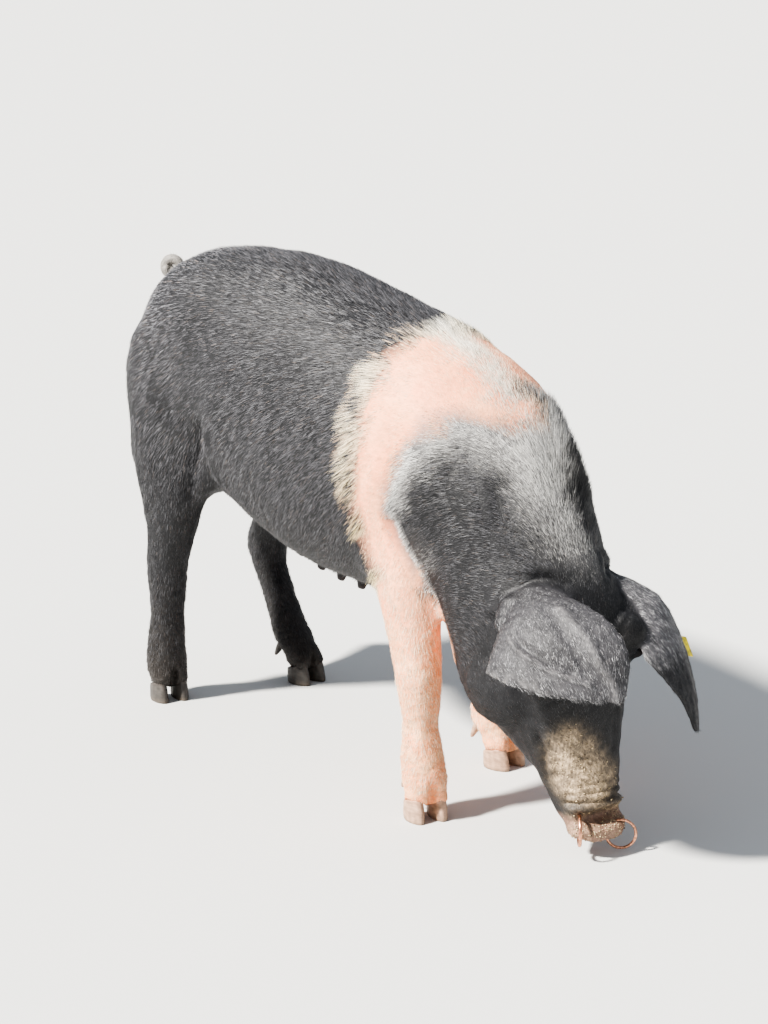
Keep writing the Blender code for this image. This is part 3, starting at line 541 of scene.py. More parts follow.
def evaluated(mesh, *settings):
    """The mesh that the given modifiers make of it."""
    holder = bpy.data.objects.new("holder", mesh)
    bpy.context.scene.collection.objects.link(holder)
    for kind, values in settings:
        modifier = holder.modifiers.new(kind.lower(), kind)
        for key, value in values.items():
            if key == "weights":
                group = holder.vertex_groups.new(name="weights")
                for index, weight in enumerate(value):
                    group.add([index], float(weight), "REPLACE")
                modifier.vertex_group = group.name
            else:
                setattr(modifier, key, value)
    graph = bpy.context.evaluated_depsgraph_get()
    graph.update()
    made = bpy.data.meshes.new_from_object(holder.evaluated_get(graph))
    bpy.data.objects.remove(holder, do_unlink=True)
    return made


def keep_outer(mesh):
    """Drops sealed scraps that remeshing may leave inside."""
    pairs = edges_of(mesh)
    count = len(mesh.vertices)
    label = np.arange(count)
    while True:
        low = np.minimum(label[pairs[:, 0]], label[pairs[:, 1]])
        new = label.copy()
        np.minimum.at(new, label[pairs[:, 0]], low)
        np.minimum.at(new, label[pairs[:, 1]], low)
        while (new[new] != new).any():
            new = new[new]
        if (new == label).all():
            break
        label = new
    names, sizes = np.unique(label, return_counts=True)
    if len(names) == 1:
        return
    keep = names[sizes.argmax()]
    shape = bmesh.new()
    shape.from_mesh(mesh)
    spare = [vertex for vertex in shape.verts if label[vertex.index] != keep]
    bmesh.ops.delete(shape, geom=spare, context="VERTS")
    shape.to_mesh(mesh)
    shape.free()


def regions_of(points, pairs):
    """How much each point belongs to each flesh node, softened over the joins."""
    shape = bmesh.new()
    owner = []
    for index, name in enumerate(FLESH):
        shape.from_mesh(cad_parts[name].data)
        owner += [index] * (len(shape.faces) - len(owner))
    tree = BVHTree.FromBMesh(shape)
    shape.free()
    labels = np.array([owner[tree.find_nearest(Vector(point))[2]] for point in points])
    weights = np.zeros((len(points), len(FLESH)))
    weights[np.arange(len(points)), labels] = 1.0
    return spread(weights, pairs, 10), labels


def share_of(weights, *names):
    return sum(weights[:, FLESH.index(name)] for name in names)


def eye_places():
    return [np.array(centre_of(name)) for name in ("eye_left", "eye_right")]


def fold_lines():
    """Each fold in metres: its points, half width, height and sides."""
    for line, *sizes, side in FOLDS:
        width, height = np.round(np.array(sizes) / 1000, 7)
        yield np.array(line) / 1000, width, height, side


def slit_distance(points):
    """How far each point is from the slit on the side of the neck."""
    return distance_to_line(points, placed(np.array(FOLDS[SLIT_FOLD][0]) / 1000))


def fold_heights(points, normals):
    """The height that all the folds and ridges give each point, along its normal."""
    heights = np.zeros(len(points))
    for line, width, height, side in fold_lines():
        for flip in (1, -1) if side == 0 else (1,):
            course = placed(line * np.array((1, flip, 1)))
            low = course.min(axis=0) - 3 * width
            high = course.max(axis=0) + 3 * width
            near = np.where(((points > low) & (points < high)).all(axis=1))[0]
            away = distance_to_line(points[near], course)
            ends = np.ones(len(near))
            for end in (course[0], course[-1]):
                if side == 0 and abs(end[1] - HERE.y) < 0.001:
                    ends *= np.where((points[near, 1] - HERE.y) * flip < 0, 1.0, 0.0)
            heights[near] += height * bell(away / width) * ends
    return heights


def teat_places():
    first, step, out, count = TEATS
    places = [(first + step * i, side * out, 0.0) for i in range(count) for side in (-1, 1)]
    return [placed(place)[:2] for place in places]


def shape_toes(points):
    """Draws the lower end of each leg in to two toes that just cover the tops of the claws."""
    points = points.copy()
    for foot in FEET:
        claws = [np.array(centre_of(f"claw_{foot}_{place}")) for place in "ab"]
        middle = (claws[0] + claws[1]) / 2
        side = claws[0] - claws[1]
        half = np.linalg.norm(side[:2]) / 2
        side = side[:2] / (2 * half)
        ahead = np.array((side[1], -side[0]))
        flat = points[:, :2] - middle[:2]
        near = (points[:, 2] < 0.095) & (np.linalg.norm(flat, axis=1) < 0.075)
        u, v, z = flat[near] @ ahead, flat[near] @ side, points[near, 2]
        which = np.where(v > 0, 1.0, -1.0)
        off = v - which * half
        reach = (np.abs(u / 0.0292) ** 3 + np.abs(off / 0.0168) ** 3) ** (1 / 3)
        grip = smoothstep(0.078, 0.044, z)
        inward = np.where(reach > 1, 1 / np.maximum(reach, 1e-6), 1.0)
        web = smoothstep(0.0062, 0.0036, np.abs(v)) * smoothstep(0.082, 0.050, z)
        new_u = u * (1 + (inward - 1) * grip) * (1 - 0.60 * web)
        new_v = v + (off * (inward - 1)) * grip
        rim = smoothstep(0.75, 1.0, reach) * smoothstep(0.056, 0.044, z)
        points[near, :2] = middle[:2] + new_u[:, None] * ahead + new_v[:, None] * side
        points[near, 2] = z - 0.0045 * rim
    return points


def saddle_fields(points, weights):
    """The markings: pink hide, roan, and the distances behind and ahead of the saddle's edges."""
    x, y, z = own(points).T
    waver = 0.003 * rumple(points, 0.05, 3) + 0.002 * rumple(points, 0.017, 4)
    rear = np.interp(z, *zip(*SADDLE_REAR))
    behind = rear - x + waver
    line = np.array([(a, 0.0, b) for a, b in GREY_NECK])
    flat = np.column_stack([x, np.zeros(len(x)), z])
    away = distance_to_line(flat, line)
    ahead = np.where(inside_outline(x, z, GREY_NECK + GREY_NECK_REST), away, -away) + waver
    foreleg = share_of(weights, *FORELEGS)
    tuft = smoothstep(0.040, 0.058, y) * smoothstep(0.60, 0.63, z) * smoothstep(0.445, 0.470, x)
    ahead = ahead + 0.045 * tuft
    low = smoothstep(0.39, 0.35, z) * foreleg
    ahead = ahead * (1 - low) - 0.05 * low
    behind = behind * (1 - low) - 0.05 * low
    pink = smoothstep(0.0035, -0.0035, behind) * smoothstep(0.003, -0.003, ahead)
    width = np.interp(z, *zip(*ROAN_WIDTH))
    roan = smoothstep(-0.004, 0.002, ahead) * np.clip(1 - ahead / width, 0, 1) ** 0.8
    heights, *columns = zip(*CREST)
    near, far, pale = (np.interp(z, heights, column) for column in columns)
    crest = pale * smoothstep(near - 0.010, near + 0.066, y + waver)
    crest *= smoothstep(far + 0.006, far - 0.006, y + waver) * smoothstep(-0.004, 0.006, ahead)
    crest *= smoothstep(0.40, 0.48, z) * share_of(weights, "neck", "head", "torso")
    beyond = smoothstep(far - 0.002, far + 0.004, y + 0.5 * waver) * smoothstep(0.70, 0.64, z)
    roan = np.maximum(roan * (1 - beyond), crest) * (1 - 0.62 * tuft)
    return pink, roan, behind, ahead


def painted_shade_on(points):
    """Painted shade over the black: the far side of the crest, the middle of the neck, the brow."""
    x, y, z = own(points).T
    heights, _, far_edge, _ = zip(*CREST)
    far = np.interp(z, heights, far_edge)
    deep = smoothstep(far, far + 0.004, y) * smoothstep(0.49, 0.52, x)
    deep *= smoothstep(0.490, 0.508, z) * smoothstep(0.630, 0.614, z)
    for place, reach, strength in PAINTED_SHADES:
        away = away_from(points, placed(place))
        deep = np.maximum(deep, strength * bell(away / reach))
    return deep


def soil_on(points):
    amount = np.zeros(len(points))
    for place, reach, strength in SOIL:
        away = away_from(points, placed(place))
        amount = np.maximum(amount, strength * bell(away / reach))
    speck = 0.5 + 0.45 * rumple(points, 0.013, 21) + 0.35 * rumple(points, 0.0045, 22)
    return np.clip(amount * (0.72 + 0.62 * speck), 0, 1)


def hide_colours(points, normals, weights, settings):
    """The colour of the bare hide at each point."""
    pink, roan, _, _ = saddle_fields(points, weights)
    x, _, z = own(points).T
    head = share_of(weights, "head")
    colour = np.tile(settings.dark, (len(points), 1)).astype(float)
    colour *= (1 + 0.18 * rumple(points, 0.09, 5) + 0.12 * rumple(points, 0.02, 6))[:, None]
    colour += paint(smoothstep(0.30, 0.05, z) * share_of(weights, *HINDLEGS), 0.012, 0.008, 0.004)
    for place in teat_places():
        bare = bell(away_from(points[:, :2], place) / 0.009)
        bare *= smoothstep(0.2, -0.3, normals[:, 2]) * smoothstep(0.46, 0.42, z)
        colour += paint(bare, 0.035, 0.024, 0.022)

    ears = share_of(weights, *EARS)
    patchy = 0.95 + 0.14 * rumple(points, 0.06, 9) + 0.05 * rumple(points, 0.011, 10)
    patchy *= 0.35 + 0.65 * smoothstep(0.605, 0.690, x)
    # Her left ear is made paler above, and its lower half, the underside, is darkened as painted
    # shade.
    patchy *= 1 + share_of(weights, "ear_left") * (0.9 - 1.7 * smoothstep(0.325, 0.285, z))
    patchy *= 1 - 0.35 * bell(away_from(points, placed((0.735, -0.135, 0.372))) / 0.034)
    colour += paint(ears * patchy, 0.052, 0.050, 0.053)
    # Painted highlight along the raised ridges of the ears.
    for line, width, height, side in fold_lines():
        if side != 0 and height > 0:
            ridge_highlight = bell(distance_to_line(points, placed(line)) / (width * 0.9))
            ridge_highlight *= ears * (0.8 if width < 0.004 else 0.42)
            ridge_highlight *= np.clip(0.75 + 0.35 * rumple(points, 0.009, 16), 0.1, 1.3)
            colour += paint(ridge_highlight, 0.30, 0.285, 0.28)
    rim = share_of(weights, "ear_right") * smoothstep(0.345, 0.315, z) * smoothstep(0.80, 0.70, x)
    colour += paint(rim * np.clip(0.5 + rumple(points, 0.016, 13), 0, 1), 0.10, 0.095, 0.09)

    rose = np.array(settings.pink) * (1 + 0.07 * rumple(points, 0.06, 7))[:, None]
    pallor = 0.35 + 0.45 * rumple(points, 0.028, 17) + 0.30 * rumple(points, 0.009, 18)
    rose += paint(np.clip(pallor, 0, 1), 0.03, 0.11, 0.09)
    blush = np.clip(0.5 + 0.5 * rumple(points, 0.045, 8), 0, 1)
    rose *= 1 - paint(blush, 0.01, 0.13, 0.17)
    speck = np.clip(rumple(points, 0.007, 11) - 1.0, 0, 1)
    rose *= 1 - paint(speck, 0.08, 0.24, 0.28)
    rose *= 1 - paint(smoothstep(0.40, 0.20, z), 0.02, -0.06, 0.02)
    joint = bell((z - 0.200) / 0.030) + bell((z - 0.085) / 0.025)
    rose *= 1 - paint(joint, 0.02, 0.05, 0.06)
    # Painted shade: the pink hide is darker and redder where it faces down.
    rose *= 1 - paint(smoothstep(-0.3, -0.9, normals[:, 2]), 0.04, 0.16, 0.16)
    scratch = np.clip(rumple(points * (1.0, 1.0, 2.8), 0.026, 31) - 0.8, 0, 1)
    upper = bell((x - 0.392) / 0.05) * bell((z - 0.700) / 0.035)
    rear = bell((x - 0.336) / 0.028) * bell((z - 0.675) / 0.040)
    rose *= 1 - paint(scratch * np.maximum(upper, 0.8 * rear), 0.10, 0.85, 0.90)
    colour = blend(colour, rose, pink)
    colour += paint(roan * (1 - pink), 0.15, 0.145, 0.142)

    earth = np.array(settings.soil) * (0.8 + 0.35 * rumple(points, 0.004, 23))[:, None]
    colour = blend(colour, earth, soil_on(points) * head)
    flesh = paint(1 + 0.25 * rumple(points, 0.012, 24), 0.24, 0.135, 0.100)
    colour = blend(colour, flesh, 0.65 * smoothstep(0.074, 0.060, z) * head)
    # Painted shade: the hide is darkened along the slit on the neck, and over the black where it
    # lies in shade.
    slit = bell(slit_distance(points) / 0.0036)
    colour *= 1 - np.maximum(0.9 * slit, 0.55 * painted_shade_on(points) * (1 - pink))[:, None]
    for eye in eye_places():
        lid = 0.7 * smoothstep(0.0185, 0.0145, away_from(points, eye))
        colour = blend(colour, (0.035, 0.022, 0.019), lid)
    colour = blend(colour, (0.24, 0.225, 0.21), share_of(weights, "tail"))
    return np.clip(colour, 0.004, 1.0)


def lie_of(points, normals, weights):
    """Which way the coat lies at each point, along the surface."""
    x, y, z = own(points).T
    side = np.where(y < 0, -1.0, 1.0)
    zero = np.zeros(len(points))
    down = np.clip((0.80 - z) / 0.35, 0, 1) * np.clip(np.abs(y) / 0.12, 0, 1)
    trunk = np.column_stack([zero - 1.0, zero, -0.20 - 0.95 * down])
    haunch = smoothstep(-0.12, -0.32, x)
    trunk[:, 2] -= 0.55 * haunch * down
    neck = np.column_stack([zero - 0.9, 0.10 * side, 0.35 - 0.75 * down])
    apart = 0.25 * side * smoothstep(0.02, 0.08, np.abs(y))
    head = np.column_stack([zero - 0.40, apart, zero + 0.9])
    leg = np.column_stack([zero - 0.16, zero, zero - 1.0])
    kinds = {
        "torso": trunk, "neck": neck, "head": head, "foreleg_left": leg, "foreleg_right": leg,
        "hindleg_left": leg, "hindleg_right": leg,
        "ear_right": np.tile((0.80, -0.30, -0.45), (len(points), 1)),
        "ear_left": np.tile((0.40, 0.35, -0.85), (len(points), 1)),
        "tail": np.tile((-0.5, 0.3, -0.6), (len(points), 1)),
    }
    way = sum(kinds[name] * weights[:, [i]] for i, name in enumerate(FLESH))
    sway = rumple(points, 0.13, 12)[:, None] * 0.16 + rumple(points, 0.045, 14)[:, None] * 0.06
    way = way + np.cross(normals, way) * sway
    return unit(along_surface(way, normals))


def unwrap(points, labels):
    """Each region rolled out round its own long axis, onto its own part of the square.

    A frame is its origin, its axis, the reach along that, and the left, bottom, width and height.
    """
    frames = {
        "torso": ((0.137, 0.0, 0.60), (1, 0, 0), (-0.64, 0.38), (0.01, 0.01, 0.60, 0.50)),
        "neck": ((0.497, 0.0, 0.50), (0.62, 0, -0.78), (-0.34, 0.34), (0.63, 0.01, 0.36, 0.36)),
        "head": ((0.607, 0.0, 0.30), (0.30, 0, -0.95), (-0.26, 0.32), (0.01, 0.53, 0.40, 0.46)),
        "foreleg_left": ((0.287, 0.140, 0.2), (0, 0, -1), (-0.24, 0.20), (0.63, 0.39, 0.17, 0.28)),
        "foreleg_right": ((0.397, -0.125, 0.2), (0, 0, -1), (-0.24, 0.20),
            (0.82, 0.39, 0.17, 0.28)),
        "hindleg_left": ((-0.363, 0.133, 0.2), (0.15, 0, -1), (-0.34, 0.24),
            (0.63, 0.69, 0.17, 0.30)),
        "hindleg_right": ((-0.373, -0.133, 0.2), (0, 0, -1), (-0.34, 0.22),
            (0.82, 0.69, 0.17, 0.30)),
        "ear_left": ((0.707, 0.144, 0.30), (0.35, 0.25, -0.9), (-0.18, 0.18),
            (0.43, 0.53, 0.18, 0.20)),
        "ear_right": ((0.737, -0.107, 0.35), (0.85, -0.2, -0.45), (-0.18, 0.18),
            (0.43, 0.75, 0.18, 0.16)),
        "tail": ((-0.541, -0.005, 0.796), (0.766, -0.643, 0), (-0.03, 0.03),
            (0.43, 0.93, 0.18, 0.06)),
    }
    uv = np.zeros((len(points), 2))
    for index, name in enumerate(FLESH):
        origin, axis, (low, high), (left, bottom, width, height) = frames[name]
        mine = labels == index
        axis = np.array(axis, dtype=float)
        axis /= np.linalg.norm(axis)
        flat = np.cross(axis, (0.0, 1.0, 0.02))
        flat /= np.linalg.norm(flat)
        other = np.cross(axis, flat)
        away = points[mine] - placed(origin)
        along = np.clip((away @ axis - low) / (high - low), 0, 1)
        round_it = np.arctan2(away @ other, away @ flat) / (2 * math.pi) + 0.5
        uv[mine, 0] = left + width * along
        uv[mine, 1] = bottom + height * round_it
    return uv


class Hide:
    """The finished skin, as arrays that the coat and the crumbs are set on."""

    mesh = None
    points = None
    normals = None
    weights = None
    labels = None
    pairs = None


def build_hide(settings):
    """The finished skin, thinned; its arrays are kept in Hide."""
    mesh = evaluated(
        joined_flesh(), ("REMESH", {"mode": "VOXEL", "voxel_size": SKIN_VOXEL, "adaptivity": 0.0})
    )
    keep_outer(mesh)
    pairs = edges_of(mesh)
    points = points_of(mesh)
    weights, _ = regions_of(points, pairs)
    z = points[:, 2]

    body = share_of(weights, "torso", "neck")
    legs = share_of(weights, *LEGS)
    head = share_of(weights, "head")
    ears = share_of(weights, *EARS)
    high = smoothstep(0.16, 0.34, z)
    shin = smoothstep(0.085, 0.13, z)
    passes = 160 * body + (6 + 22 * shin + 100 * high) * legs + 20 * head + 7 * ears
    passes += 4 * share_of(weights, "tail")
    passes += 150 * bell(away_from(points, placed(FAR_EAR_ROOT)) / 0.030)
    for eye in eye_places():
        away = away_from(points, eye)
        passes *= 1 - 0.9 * smoothstep(0.036, 0.022, away)
    root = away_from(points, np.array(centre_of("tail")))
    passes *= 1 - 0.9 * smoothstep(0.060, 0.035, root)
    disc = smoothstep(0.080, 0.055, z) * head
    passes = spread(passes * (1 - 0.75 * disc), pairs, 8)
    points = relax(points, pairs, passes)
    points = relax(shape_toes(points), pairs, 3.0 * smoothstep(0.10, 0.08, z))
    set_points(mesh, points)

    normals = normals_of(mesh)
    teats = np.zeros(len(points))
    for place in teat_places():
        away = away_from(points[:, :2], place)
        teats += np.exp(-((away / 0.0080) ** 4)) * smoothstep(0.0, -0.5, normals[:, 2]) * body
    furred = np.clip(body + 0.5 * legs + 0.5 * head, 0, 1)
    depth = settings.depth * (0.35 + 0.65 * furred) * (1 - 0.6 * ears)
    depth *= 0.2 + 0.8 * smoothstep(0.06, 0.10, z)
    depth *= 1 - share_of(weights, "tail")
    lift = fold_heights(points, normals) - depth + 0.013 * teats
    lift += 0.0006 * rumple(points, 0.030, 41) * (1 - ears)
    lift += 0.0009 * rumple(points, 0.085, 42) * body
    lift += 0.0006 * rumple(points * np.array((1, 1, 2.6)), 0.022, 43) * legs
    lift += 0.0006 * rumple(points * np.array((1, 2.0, 1)), 0.030, 44) * ears
    points = points + normals * lift[:, None]
    for eye in eye_places():
        away = points - eye
        reach = np.linalg.norm(away, axis=1)
        inner = reach < EYE_HOLLOW
        points[inner] = eye + away[inner] / reach[inner, None] * EYE_HOLLOW
    points = relax(points, pairs, np.full(len(points), 0.8))
    set_points(mesh, points)

    spare = 1.0 - 0.72 * head - 0.78 * ears - 0.40 * legs * (1 - high)
    spare = spare - 0.7 * share_of(weights, "tail")
    spare = np.clip(spare - 0.8 * spread(np.clip(teats * 3, 0, 1), pairs, 3), 0.05, 1.0)
    thin = evaluated(
        mesh,
        ("DECIMATE", {
            "ratio": SKIN_TRIANGLES / (len(mesh.polygons) * 2), "weights": spare,
            "vertex_group_factor": 1.0, "use_collapse_triangulate": True,
        }),
    )
    thin.shade_smooth()
    Hide.mesh = thin
    Hide.pairs = edges_of(thin)
    Hide.points = points_of(thin)
    Hide.normals = normals_of(thin)
    Hide.weights, Hide.labels = regions_of(Hide.points, Hide.pairs)
    return thin


# ---- coat


def coat_fields(settings):
    """Length, density, lift and the shares of each kind of bristle, for every point of the hide."""
    points, normals, weights = Hide.points, Hide.normals, Hide.weights
    pink, roan, behind, ahead = saddle_fields(points, weights)
    x, y, z = own(points).T
    body = share_of(weights, "torso")
    neck = share_of(weights, "neck")
    head = share_of(weights, "head")
    ears = share_of(weights, *EARS)
    legs = share_of(weights, *LEGS)
    tail = share_of(weights, "tail")
    trunk = body + neck + legs * smoothstep(0.30, 0.42, z)
    high = smoothstep(0.10, 0.42, z)
    length = settings.body * (body + 0.72 * neck)
    length = length + legs * (settings.leg * (1 - high) + settings.body * 0.8 * high)
    length = length + head * settings.face + ears * settings.face * 1.25 + tail * 0.009
    length *= 1 - 0.45 * smoothstep(0.24, 0.12, z) * head
    crest = bell(y / 0.032) * (body + neck) * smoothstep(0.50, 0.66, z)
    crest *= smoothstep(-0.52, -0.40, x)
    length *= 1 + 0.45 * crest
    mane = bell(distance_to_line(points, placed(MANE)) / 0.036) * (1 - ears)
    length *= 1 + 1.1 * mane
    fringe = smoothstep(-0.014, 0.0, behind) * smoothstep(0.026, 0.014, behind) * trunk
    ragged = 1 + 0.22 * rumple(points, 0.012, 15)
    length = length * (1 - fringe) + settings.fringe * ragged * fringe
    length *= 1 - 0.45 * pink * (1 - fringe) * (1 - crest) * (1 - legs)
    edge = smoothstep(0.020, 0.004, ahead) * smoothstep(-0.012, -0.002, ahead) * (1 - legs)
    length *= 1 - 0.5 * edge
    length *= 1 - 0.45 * smoothstep(0.075, 0.045, z) * legs

    density = 1.0 + 0.8 * fringe + 0.7 * ears + 1.0 * head + 0.8 * crest + 0.4 * roan
    density *= 1 - 0.74 * pink * (1 - fringe) * (1 - crest) * (1 - 0.35 * legs)
    under = smoothstep(-0.2, -0.8, normals[:, 2]) * body
    density *= 1 - 0.4 * under
    disc = smoothstep(0.086, 0.070, z) * head
    density *= 1 - np.clip(smoothstep(0.036, 0.030, z) * legs + disc, 0, 1)
    density *= 1 - 0.4 * edge
    slit = slit_distance(points)
    density *= 1 - 0.97 * bell(slit / 0.0046)
    length *= 1 - 0.30 * bell(slit / 0.009)
    for place in teat_places():
        density *= smoothstep(0.012, 0.016, away_from(points[:, :2], place))
    for eye in eye_places():
        away = away_from(points, eye)
        density *= smoothstep(0.016, 0.021, away)
    lift = 10.0 + 9.0 * crest + 20.0 * mane + 3.0 * fringe - 1.5 * head - 2.0 * ears
    cream = np.clip(smoothstep(0.026, 0.010, behind) * smoothstep(0.004, -0.004, ahead), 0, 1)
    cream = cream * trunk + (1 - trunk) * pink
    return length, density, lift, cream, roan, fringe, crest


def triangles_of(mesh):
    mesh.calc_loop_triangles()
    faces = np.empty(len(mesh.loop_triangles) * 3, np.int32)
    mesh.loop_triangles.foreach_get("vertices", faces)
    return faces.reshape(-1, 3)


def clear_lift(way, length, lift):
    """The lift of each lock, changed to follow the hide where that rises or falls ahead."""
    tree = BVHTree.FromPolygons(Hide.points.tolist(), triangles_of(Hide.mesh).tolist())
    extra = np.full(len(length), -4.0)
    for share in (0.45, 0.90):
        reach = np.maximum(length, 0.004) * share
        ahead = Hide.points + way * reach[:, None]
        near = np.array([tree.find_nearest(point)[0] for point in ahead.tolist()])
        rise = np.einsum("ij,ij->i", near - ahead, Hide.normals)
        extra = np.maximum(extra, np.degrees(np.arctan2(rise, reach)))
    return lift + spread(np.clip(extra, -4.0, 55.0), Hide.pairs, 1)


def lock_mesh(name, roots, normals, way, length, width, lift, colours, uv, random):
    """Flat tapered locks, each two bends long, as one mesh."""
    count = len(roots)
    roll = random.uniform(-0.5, 0.5, count)[:, None]
    across = np.cross(way, normals)
    across = across * np.cos(roll) + normals * np.sin(roll)
    lift = np.radians(np.minimum(lift + 9.0 * random.uniform(-0.4, 1.0, count), 75.0))[:, None]
    start = roots - normals * 0.0008
    bend = (way * np.cos(lift) + normals * np.sin(lift)) * length[:, None]
    middle = start + bend * 0.5
    tip = start + bend * 0.85 + way * length[:, None] * 0.15
    half = across * width[:, None] / 2
    narrow = half * 0.72
    points = np.stack([start - half, start + half, middle + narrow, middle - narrow, tip], axis=1)
    lock = np.arange(count)[:, None]
    corners = lock * 5 + np.array([0, 1, 2, 3, 3, 2, 4])
    mesh = mesh_from(name, points, corners, lock * 7 + np.array([0, 4]))
    # Painted shade at each lock's root and a painted highlight at its tip.
    shade = np.array([0.70, 0.70, 0.95, 0.95, 1.18])
    tinted = colours[:, None, :] * shade[None, :, None]
    set_colour(mesh, "bristle_colour", np.clip(tinted.reshape(-1, 3), 0, 1))
    layer = mesh.uv_layers.new(name="OFBake")
    patch = np.array([(-1, -1), (1, -1), (0.8, 0), (-0.8, 0), (-0.8, 0), (0.8, 0), (0, 1)]) * 0.0015
    layer.data.foreach_set("uv", (uv[:, None, :] + patch[None]).astype(np.float32).ravel())
    mesh.shade_smooth()
    return mesh


def bristle_colours(settings, roots, cream, roan, fringe, crest, ear, streak, random):
    """The colour of each lock, from the shares of its kinds at its root."""
    count = len(roots)
    x, _, z = own(roots).T
    black, silver, pale = (np.array(c) for c in (settings.black, settings.silver, settings.cream))
    # The silver bristles are paler hairs that also stand in for painted glints; shine picks which
    # locks are silver.
    shine = random.random(count)
    clump = 0.15 * rumple(roots * (0.6, 1.0, 1.0), 0.0036, 71) + 0.08 * rumple(roots, 0.02, 72)
    tone = np.clip((shine + clump - 0.30) / 0.70, 0, 1.25) ** 1.3
    # Painted light: more silver bristles higher up the body, and a painted sheen on the top of the
    # rump.
    tone *= 0.60 + 0.40 * smoothstep(0.30, 0.62, z)
    tone *= 1 + 1.1 * smoothstep(-0.20, -0.42, x) * smoothstep(0.58, 0.74, z)
    # Painted shade: fewer silver bristles where the black lies in shade.
    tone *= 1 - painted_shade_on(roots) * (1 - cream)
    colour = blend(black, silver, tone)
    rust = (random.random(count) < 0.05)[:, None]
    colour = np.where(rust, colour * (1.35, 1.1, 0.9), colour)
    # Painted shade: no pale bristles on the lower half of her left ear, its underside.
    ear = np.where(ear > 1.2, ear * smoothstep(0.285, 0.325, z), ear)
    mottle = 1 + 0.25 * rumple(roots, 0.016, 74) + 0.30 * rumple(roots, 0.0026, 75)
    colour += paint(ear * np.clip(mottle, 0.2, 2.2) * shine ** 2.2, 0.45, 0.445, 0.45)
    greyed = np.clip(roan * 1.35 + 0.75 * (random.random(count) - 0.58) + 0.10 * clump, 0, 1)
    greyed *= smoothstep(0.0, 0.08, roan)
    grey = paint(0.45 + 0.65 * random.random(count), 0.82, 0.80, 0.77)
    colour = blend(colour, grey, greyed)
    bright = random.random(count)
    plain = 1 - np.clip(fringe + crest, 0, 1)
    peach = np.array((0.97, 0.68, 0.47)) + paint(smoothstep(0.46, 0.34, z), 0.0, 0.13, 0.14)
    rusty = paint((random.random(count) < 0.20) * plain, 0.26, 0.44, 0.50)
    creamy = blend(pale, peach, plain) * (0.68 + 0.36 * bright)[:, None] * (1 - rusty)
    creamy *= (1 + 0.30 * fringe * np.clip(streak, -1.8, 0.3))[:, None]
    cream = cream + 3.0 * cream * (1 - cream) * fringe * (0.45 * streak - 0.10)
    cream = np.clip(cream - 0.72 * fringe * smoothstep(0.2, -0.6, streak), 0, 1)
    creamy += (1 - creamy) * 0.45 * crest[:, None]
    creamy *= 1 - paint(smoothstep(0.66, 0.46, z) * fringe, 0.18, 0.22, 0.46)
    return np.where((random.random(count) < cream)[:, None], creamy, colour)


